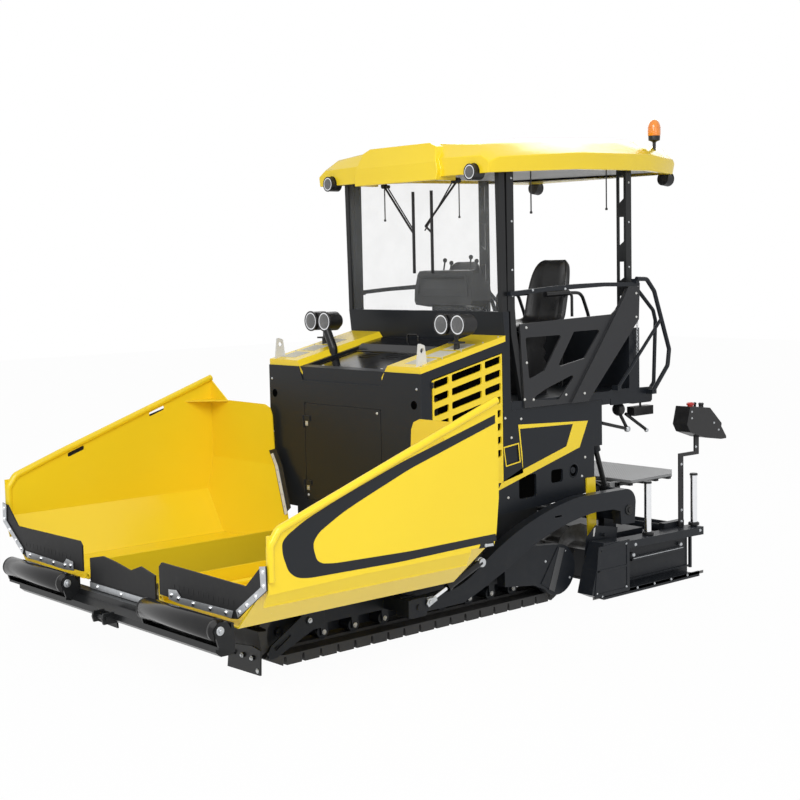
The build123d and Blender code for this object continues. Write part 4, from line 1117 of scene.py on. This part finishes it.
def trimRollers():
    # push rollers turned smooth, with their end bolts and the bolts of their brackets
    ends = [(at, addBolt, [rollerShape[end]], key, 13) for end, key in (("inner", "in"), ("outer", "out"))]
    build("roller_end_bolts_{side}", chrome, "roller_{side}", *ends)
    skin = (at, addTurned, [rollerShape["inner"]], "out", rollerShape["turn"], 64)
    for side, piece in zip(sides, build("roller_skin_{side}", blackPaint, "roller_{side}", skin)):
        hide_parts(f"push_roller_{side}")
    outer = (on, addTurned, "y", "push_beam", [(1950, 440)], rollerShape["bracketEnd"], 24)
    plates = (on, addRoundBolt, "x", "clearing_plates", [(985, 262), (985, 52)], 12)
    build("bracket_bolts_{side}", zinc, "chassis", outer, (innerBracket,), plates)


trimRollers()

gateShape = {
    "poles": [(-2110, 1055, 404), (-2672, 1055, 404)],
    "lipBolts": [(along, 30) for along in (-1500, -1900, -2100, -2300, -2500)],
    "beamBolts": [(-1880, 360), (-2660, 360)],
    "frontBolts": [(-1440, 1127, 60), (-1770, 1127, 60), (-1770, 1127, 385)],
    "outer": [(-1416, 26), (-1806, 26), (-1806, 410), (-1462, 396)],
    "inner": [(-1452, 54), (-1776, 54), (-1776, 386), (-1490, 372)],
    "ribs": [  # front, rear, low, high, level, proud
        (-1446, -1780, 212, 226, 1125, 5), (-1850, -2680, 60, 74, 1005, 16),
        (-1850, -2680, 300, 312, 1005, 14),
        (-1836, -1856, 50, 318, 1005, 22), (-2664, -2684, 50, 318, 1005, 22),
    ],
    "slide": (-1960, -2560, 226, 230, 1006, 34),
    "slideEnds": [(-1975, 1010, 254), (-2545, 1010, 254)],
    "marker": [
        (-1621, 519), (-1872, 473), (-1854, 374), (-1722, 393), (-1617, 226), (-1489, 252), (-1519, 440)
    ],
    "markerStrips": [
        [(-1512, 262), (-1530, 262), (-1552, 330), (-1534, 334)],
        [(-1600, 500), (-1618, 504), (-1606, 440), (-1590, 438)],
    ],
    "spacers": [(-1560, 300), (-1700, 440)],
    "face": 1125,
    "pole": [(0, 27.2), (396, 27.2), (399, 22)],
    "footCollar": [(0, 44), (16, 44), (20, 40), (24, 32)],
    "headCollar": [(0, 32), (10, 32), (16, 28), (18, 12)],
    "collarReach": (-9, 383),
    "lip": ((-2700, 1122, 18), (-1400, 1125, 40)),
    "slideEnd": [(0, 16), (20, 16), (24, 12)],
    "markerLevels": (956, 961, 990),  # the plate, its white strips, and the far end of its spacers
}


def trimGates():
    # chrome guide poles, ribs, bolts and foot lip of the end gate, and the deflector plate inside its front
    body, gate = "extension_{side}", "end_gate_{side}"
    poles = (at, addTurned, gateShape["poles"], "up", gateShape["pole"], 24)
    build("gate_poles_{side}", chrome, body, poles)
    lip = (on, addBolt, "y", gate, gateShape["lipBolts"], 7)
    beams = (on, addBolt, "y", gate, gateShape["beamBolts"], 9)
    build("gate_bolts_{side}", zinc, body, lip, beams, (at, addBolt, gateShape["frontBolts"], "out", 7))
    build("gate_lip_face_{side}", castSteel, body, (box, *gateShape["lip"]))
    collars = []
    for along, across, high in gateShape["poles"]:
        for key, reach, count in zip(("footCollar", "headCollar"), gateShape["collarReach"], (24, 20)):
            place = (along, across, high + reach)
            collars.append((at, addTurned, [place], "up", gateShape[key], count))
    build("gate_pole_collars_{side}", darkPaint, body, *collars, bevel=0.8)
    ribs = [(strip, *rib) for rib in gateShape["ribs"]]
    face = (border, gateShape["outer"], gateShape["inner"], "y", gateShape["face"], 0.005)
    build("gate_ribs_{side}", greyPaint, body, face, *ribs, bevel=1.2)
    ends = (at, addTurned, gateShape["slideEnds"], "out", gateShape["slideEnd"], 18)
    build("gate_slide_{side}", zinc, body, (strip, *gateShape["slide"]), ends)
    level, raised, far = gateShape["markerLevels"]
    spacers = [[(along, level, high), (along, far, high)] for along, high in gateShape["spacers"]]
    marker = (plate, gateShape["marker"], "y", level, 0.005)
    build("gate_marker_{side}", greyPaint, body, marker, (bar, 12, 0, 12, *spacers), bevel=0.8)
    strips = [(plate, points, "y", raised, 0.002) for points in gateShape["markerStrips"]]
    build("gate_marker_strips_{side}", whitePaint, body, *strips)


trimGates()

remoteTrim = {
    "stop": [(0, 22), (10, 22), (12, 30), (24, 30), (32, 22), (35, 6)],
    "knobs": [(-2780, 985), (-2780, 1035), (-2840, 1010)],
    "knob": [(-2, 12), (14, 10), (24, 14), (32, 12), (36, 4)],
    "postBolts": [(-2568, 430), (-2568, 520), (-2568, 880), (-2750, 1000)],
    "boxBolts": [(-2620, 1240), (-2620, 1290), (-2900, 1180), (-2960, 1120)],
    "stopAt": [(-2690, 1010)],
}


def trimRemotes():
    # red stop button, knobs and bolts of the screed's side control
    body, node = "extension_{side}", "screed_remote_{side}"
    stop = (on, addTurned, "z", node, remoteTrim["stopAt"], remoteTrim["stop"], 24)
    build("remote_stop_{side}", redPaint, body, stop)
    knobs = (on, addTurned, "z", node, remoteTrim["knobs"], remoteTrim["knob"], 16)
    build("remote_knobs_{side}", moulding, body, knobs)
    rows = [
        (on, addBolt, "y", node, remoteTrim[key], size) for key, size in (("postBolts", 8), ("boxBolts", 6))
    ]
    build("remote_bolts_{side}", zinc, body, *rows)


trimRemotes()

hullTrim = {
    "outer": [(-929, 1323), (-1670, 1288), (-1576, 1098), (-712, 872), (-754, 926), (-973, 973)],
    "inner": [(-945, 1292), (-1505, 1278), (-1431, 1119), (-974, 997), (-974, 1010), (-968, 1100)],
    "latchOuter": [(-778, 1178), (-934, 1194), (-950, 1053), (-800, 1034)],
    "latchInner": [(-786, 1169), (-925, 1184), (-940, 1061), (-807, 1043)],
    "openings": [(-930, -1110, 786, 955), (-1266, -1392, 863, 960)],
    "port": [(0, 54.5), (21, 54.5), (23, 51), (23, 46), (0, 46)],
    "portHub": [(0, 26), (9, 26), (12, 22), (12, 10), (16, 8)],
    "bolts": [(-820, 812), (-1600, 880), (-1636, 1018), (-860, 1236), (-800, 1380), (-960, 1362)],
    "towPins": [(240, 240), (-1900, 610)],
    "towPin": [(0, 40), (6, 40), (10, 36), (10, 22), (18, 20)],
    "frameLevel": 850.4,
    "shadeLevel": 830.5,
    "shadeDisc": [(0, 54), (2, 54)],
    "portAt": (-1510, 932),
    "portLevels": (830, 832),
}


def trimHull():
    # yellow framing of the blank stripe field and latch recess, painted shade in the openings, port, bolts
    # and tow pins
    pairs = (("outer", "inner"), ("latchOuter", "latchInner"))
    level, shade = hullTrim["frameLevel"], hullTrim["shadeLevel"]
    frames = [(border, hullTrim[outer], hullTrim[inner], "y", level, 0.001) for outer, inner in pairs]
    build("hull_framing_{side}", yellowPaint, "chassis", *frames)
    # painted shade: near-black sheets at the back of the openings and the port, where only shade would show
    shades = [
        (plate, [(front, low), (rear, low), (rear, high), (front, high)], "y", shade, 0.002, 34)
        for front, rear, low, high in hullTrim["openings"]
    ]
    along, high = hullTrim["portAt"]
    near, far = hullTrim["portLevels"]
    shades.append((at, addTurned, [(along, shade, high)], "out", hullTrim["shadeDisc"], 36))
    build("hull_opening_shade_{side}", shadePaint, "chassis", *shades)
    collar = (at, addRing, [(along, near, high)], "out", hullTrim["port"], 36)
    hub = (at, addTurned, [(along, far, high)], "out", hullTrim["portHub"], 28)
    build("hull_port_{side}", greyPaint, "chassis", collar, hub)
    build(
        "hull_bolts_{side}", whitePaint, "chassis", (on, addBolt, "y", "hull_sides", hullTrim["bolts"], 7)
    )
    pins = (on, addTurned, "y", "tow_arms", hullTrim["towPins"], hullTrim["towPin"], 28)
    build("tow_pins_{side}", darkPaint, "screed", pins, bevel=0.8)


trimHull()

rearTrim = {
    "level": 780,
    "lamp": [(0, 22), (8, 40), (26, 50), (48, 52), (60, 46)],
    "lens": [(4, 44), (8, 42), (12, 26), (13, 4)],
    "rods": [[(-2128, 1283), (-2205, 1174), (-1905, 1245)], [(-2187, 1291), (-2435, 1146)]],
    "stub": [(-2128, 1283), (-2110, 1400)],
    "knob": [(0, 10), (6, 22), (22, 26), (38, 22), (46, 8)],
    "smallKnob": [(0, 8), (6, 16), (18, 18), (28, 14), (32, 6)],
}


def hangRearGear():
    # work lamps below the platform's rear bracket, and the V of black rods under them
    level = rearTrim["level"]
    stems = [[(along, level, 1400), (along, level, low)] for along, low in ((-2100, 1354), (-2361.5, 1336))]
    bowl = (at, addTurned, [(-2066, level, 1334)], "back", rearTrim["lamp"], 24)
    housing = (box, (-2477, level - 38, 1270), (-2246, level + 38, 1340))
    steps = ((bar, 9, 0, 12, stems[0]), bowl, (bar, 9, 0, 12, stems[1]), housing)
    build("rear_lamp_housings_{side}", moulding, "chassis", *steps, bevel=3.0)
    rods = [[(x, level, z) for x, z in path] for path in (*rearTrim["rods"], rearTrim["stub"])]
    build("rear_rods_{side}", darkPaint, "chassis", (bar, 13, 20, 12, *rods[:2]), (bar, 13, 0, 12, rods[2]))
    knob = (at, addTurned, [(-2205, level, 1150)], "up", rearTrim["knob"], 20)
    build(
        "rear_knobs_{side}", zinc, "chassis", knob,
        (at, addTurned, [(-2435, level, 1128)], "up", rearTrim["smallKnob"], 18)
    )
    build(
        "rear_lamp_lens_{side}", clearLens, "chassis",
        (at, addTurned, [(-2122, level, 1334)], "back", rearTrim["lens"], 24)
    )


hangRearGear()
print("both sides trimmed")

roofShape = {"merge": 0.0004, "flatter": 1.5, "sharp": 32, "easing": 0.009}


def coverRoof():
    # the roof's moulded skin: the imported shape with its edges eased
    source = nodes["roof"]
    form = bmesh.new()
    form.from_mesh(source.data)
    bmesh.ops.transform(form, matrix=source.matrix_world, verts=form.verts)
    bmesh.ops.remove_doubles(form, verts=form.verts, dist=roofShape["merge"])
    flatter = math.radians(roofShape["flatter"])
    bmesh.ops.dissolve_limit(form, angle_limit=flatter, verts=form.verts, edges=form.edges)
    piece = finishPiece("roof_skin", form, yellowPaint, "chassis", angle=roofShape["sharp"])
    edge = piece.modifiers.new("easedEdge", "BEVEL")
    edge.width = roofShape["easing"]
    edge.segments = 3
    edge.limit_method = "ANGLE"
    edge.angle_limit = math.radians(roofShape["sharp"])
    edge.harden_normals = True
    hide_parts("roof")


beaconShape = {
    "foot": [(-2560, 770, 0)],
    "stem": [(3312, 13), (3375, 13), (3384, 22), (3392, 44), (3424, 46), (3428, 44)],
    "dome": [(3427, 47), (3432, 49), (3470, 50), (3505, 47), (3530, 38), (3546, 24), (3554, 8)],
    "rib": [(0, 49.6), (2, 50.6), (5, 50.6), (7, 49.6), (3, 48.5)],
    "ribs": (3444, 3458, 3472, 3486),
}


def lightBeacon():
    # amber dome with moulded ribs on its black base and stem
    foot = beaconShape["foot"]
    stem = build("beacon_stem", moulding, "chassis", (at, addTurned, foot, "up", beaconShape["stem"], 32))
    steps = [(at, addTurned, foot, "up", beaconShape["dome"], 40)]
    for high in beaconShape["ribs"]:
        profile = [(high + reach, radius) for reach, radius in beaconShape["rib"]]
        steps.append((at, addRing, foot, "up", profile, 40))
    for piece in stem + build("beacon_dome", amberLens, "chassis", *steps, angle=50):
        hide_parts("beacon")


seatShape = {
    # along, height, half width, bolster height
    "line": [
        (-1158, 1975, 150, 4), (-1160, 2000, 168, 14), (-1200, 2012, 180, 26), (-1300, 2008, 186, 36),
        (-1450, 2004, 188, 42), (-1560, 2004, 188, 46), (-1618, 2034, 188, 52), (-1640, 2090, 188, 56),
        (-1660, 2200, 188, 52), (-1674, 2300, 186, 42), (-1688, 2390, 174, 30), (-1704, 2455, 150, 16),
        (-1726, 2484, 122, 4), (-1745, 2488, 96, 0),
    ],
    "columns": 18,
    "shell": 42,
    "middle": 480,
    "bolsterFrom": 0.45,
    "bolsterPower": 1.6,
    # height and half width of the folded skirt
    "skirt": [
        (1490, 118), (1560, 122), (1600, 108), (1640, 122), (1680, 106), (1720, 120), (1760, 104),
        (1800, 118), (1840, 102), (1880, 116), (1925, 118), (1960, 130),
    ],
    "skirtAlong": -1410,
    "armEdge": 205,
}


def bucket(form, side):
    # one curved shell with raised bolsters
    line, columns, start = seatShape["line"], seatShape["columns"], seatShape["bolsterFrom"]
    middle = seatShape["middle"] * sides[side]
    rows = []
    for index, (along, high, half, bolster) in enumerate(line):
        before, after = line[max(index - 1, 0)], line[min(index + 1, len(line) - 1)]
        run = Vector((after[0] - before[0], 0, after[1] - before[1])).normalized()
        normal = Vector((run.z, 0, -run.x))
        row = []
        for column in range(columns + 1):
            u = column / columns * 2 - 1
            lift = bolster * max(0, (abs(u) - start) / (1 - start)) ** seatShape["bolsterPower"]
            row.append(form.verts.new(spot(along, middle + u * half, high) + normal * lift / 1000))
        rows.append(row)
    for low, high in zip(rows, rows[1:]):
        for column in range(columns):
            form.faces.new((low[column], low[column + 1], high[column + 1], high[column]))


def skirt(form, side):
    # folded rubber skirt under the seat
    middle, centre = seatShape["middle"] * sides[side], seatShape["skirtAlong"]
    rings = []
    for high, half in seatShape["skirt"]:
        corners = [
            (centre + sx * half, middle + sy * half) for sx, sy in ((1, 1), (-1, 1), (-1, -1), (1, -1))
        ]
        rings.append(
            [form.verts.new(place) for place in roundOff([spot(x, y, high) for x, y in corners], 60)]
        )
    for low, high in zip(rings, rings[1:]):
        joinRings(form, low, high)
    closeEnds(form, rings)


def armrests(form, side):
    for edge in (-seatShape["armEdge"], seatShape["armEdge"]):
        across = seatShape["middle"] * sides[side] + edge
        post = [(-1690, across, 2060), (-1690, across, 2225), (-1640, across, 2238)]
        addTube(form, [spot(*place) for place in post], 11, 40)
        addTube(form, [spot(-1650, across, 2240), spot(-1400, across, 2234)], 22, 0, 14)


def fitSeats():
    for piece in build("seat_shell_{side}", vinyl, "chassis", (bucket,), angle=70):
        wall = piece.modifiers.new("wall", "SOLIDIFY")
        wall.thickness = seatShape["shell"] / 1000
        wall.offset = -1
        smooth = piece.modifiers.new("softened", "SUBSURF")
        smooth.levels = 2
        smooth.render_levels = 2
        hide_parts("seats")
    build("seat_suspension_{side}", rubber, "chassis", (skirt,), angle=60)
    build("seat_armrests_{side}", vinyl, "chassis", (armrests,))


coverRoof()
lightBeacon()
fitSeats()
print("roof, beacon and seats made")

screedGear = {
    "cylinders": [
        (42, 24, [(-2250, 100, 560), (-2250, 640, 560)]), (30, 20, [(-2100, 120, 690), (-2100, 560, 690)])
    ],
    "clamps": [(-2250, across, 560) for across in (180, 420, 600)],
    "clamp": [(0, 44), (0, 52), (34, 52), (34, 44)],
    "lanes": ((0, 0), (34, 12), (68, 4)),  # across, and how much higher
    "ribs": (-2260, -2420, -2580, -2740, -2900),
    "half": 640,
    "under": 735,
    "boxes": [((-2330, 380, 662), (-2200, 600, 735)), ((-2330, 60, 662), (-2200, 300, 735))],
}


def fitScreedGear():
    # cylinders, hoses and clamps across the back of the screed, and the walkway's channels and boxes
    tubes = [(bar, radius, 0, count, path) for radius, count, path in screedGear["cylinders"]]
    clamps = (at, addRing, screedGear["clamps"], "across", screedGear["clamp"], 24)
    build("screed_cylinders", darkPaint, "screed", (both, *tubes, clamps))
    paths = [
        [
            (-1930, 300 + lane, 672), (-1980, 330 + lane, 760 + lift), (-2080, 430 + lane, 770 + lift),
            (-2160, 520 + lane, 690), (-2240, 560 + lane, 612),
        ]
        for lane, lift in screedGear["lanes"]
    ]
    build("screed_hoses", hose, "screed", (both, (bar, 11, 60, 10, *paths)))
    half, under = screedGear["half"], screedGear["under"]
    channels = [((x - 18, -half, under - 46), (x + 18, half, under)) for x in screedGear["ribs"]]
    channels += [((-2930, y, under - 30), (-2240, y + 40, under - 4)) for y in (-half, half - 40, -20)]
    frames = [(box, *channel) for channel in channels] + [
        (both, (box, *pair)) for pair in screedGear["boxes"]
    ]
    build("walkway_frame", darkPaint, "screed", *frames, bevel=2.0)


fitScreedGear()

levelGear = {
    "rear": (-330, 1062, 452),
    "front": (150, 1062, 262),
    "eye": [(0, 34), (22, 34), (26, 30), (44, 30)],
    "plate": [(90, 266), (100, 292), (170, 286), (184, 256), (166, 232)],
    "collar": [(0, 24), (0, 30), (26, 30), (26, 24)],
}


def levelLine(side):
    start = put(side, levelGear["rear"])
    return start, put(side, levelGear["front"]) - start


def levelBarrel(form, side):
    start, along = levelLine(side)
    addTube(form, [start, start + along * 0.62], 24, 0, 20)
    addRing(form, start + along * 0.60, along, levelGear["collar"], 24)


def levelRod(form, side):
    start, along = levelLine(side)
    addTube(form, [start + along * 0.62, start + along * 0.93], 13, 0, 16)


def levelClevis(form, side):
    start, along = levelLine(side)
    way = outward[side]
    addTurned(form, start - way * 0.022, way, levelGear["eye"], 24)
    for reach in (-20, 12):
        addPrism(form, flat(levelGear["plate"], "y", 1062 + reach, sides[side]), way * 0.008)
    addTurned(form, put(side, levelGear["front"]) - way * 0.026, way, [(0, 14), (52, 14), (54, 11)], 18)


# the levelling cylinder down to the tow point, which rides wholly on the screed
build("levelling_barrel_{side}", darkPaint, "screed", (levelBarrel,))
build("levelling_rod_{side}", chrome, "screed", (levelRod,))
build("levelling_clevis_{side}", zinc, "screed", (levelClevis,), bevel=0.6)

chainRun = {
    "place": (-2222, 870), "top": 2262, "low": 1722, "link": 30, "wire": 2.6, "wide": 8, "steps": 14
}


def chain(form, side):
    # a taut link chain at the rear corner of the operator's place, between two pegs
    along, level = chainRun["place"]
    top, low, link, wire, steps = [chainRun[key] for key in ("top", "low", "link", "wire", "steps")]
    count = int((top - low) / (link - 3 * wire))
    pitch = (top - low) / count
    for index in range(count):
        centre = spot(along, sides[side] * level, top - pitch * (index + 0.5))
        across = ahead if index % 2 else Vector((0, 1, 0))
        ring = []
        for step in range(steps):
            angle = math.tau * step / steps
            tall = math.sin(angle) * (link / 2 - wire) / 1000
            ring.append(centre + across * math.cos(angle) * chainRun["wide"] / 1000 + upward * tall)
        addTube(form, ring, wire, 0, 6, closed=True)
    bar(form, side, 5, 0, 12, *[[(along, 850, high), (along, level + 6, high)] for high in (top, low)])


build("cab_chain_{side}", zinc, "chassis", (chain,))

wiperLink = {"pivots": ((-323, 0.30), (395, -0.30)), "nozzle": [(0, 13), (24, 13), (28, 9)]}


def wiperLinks(form, side):
    # the second, thinner link of each wiper arm and its spray nozzle
    for across, reach in wiperLink["pivots"]:
        start = spot(-758, across, 3058)
        addTube(form, [start, start + Vector((0.004, reach, -0.34))], 5)
        addTurned(form, start - ahead * 0.02, ahead, wiperLink["nozzle"], 16)


build("wiper_links", moulding, "chassis", (wiperLinks,))
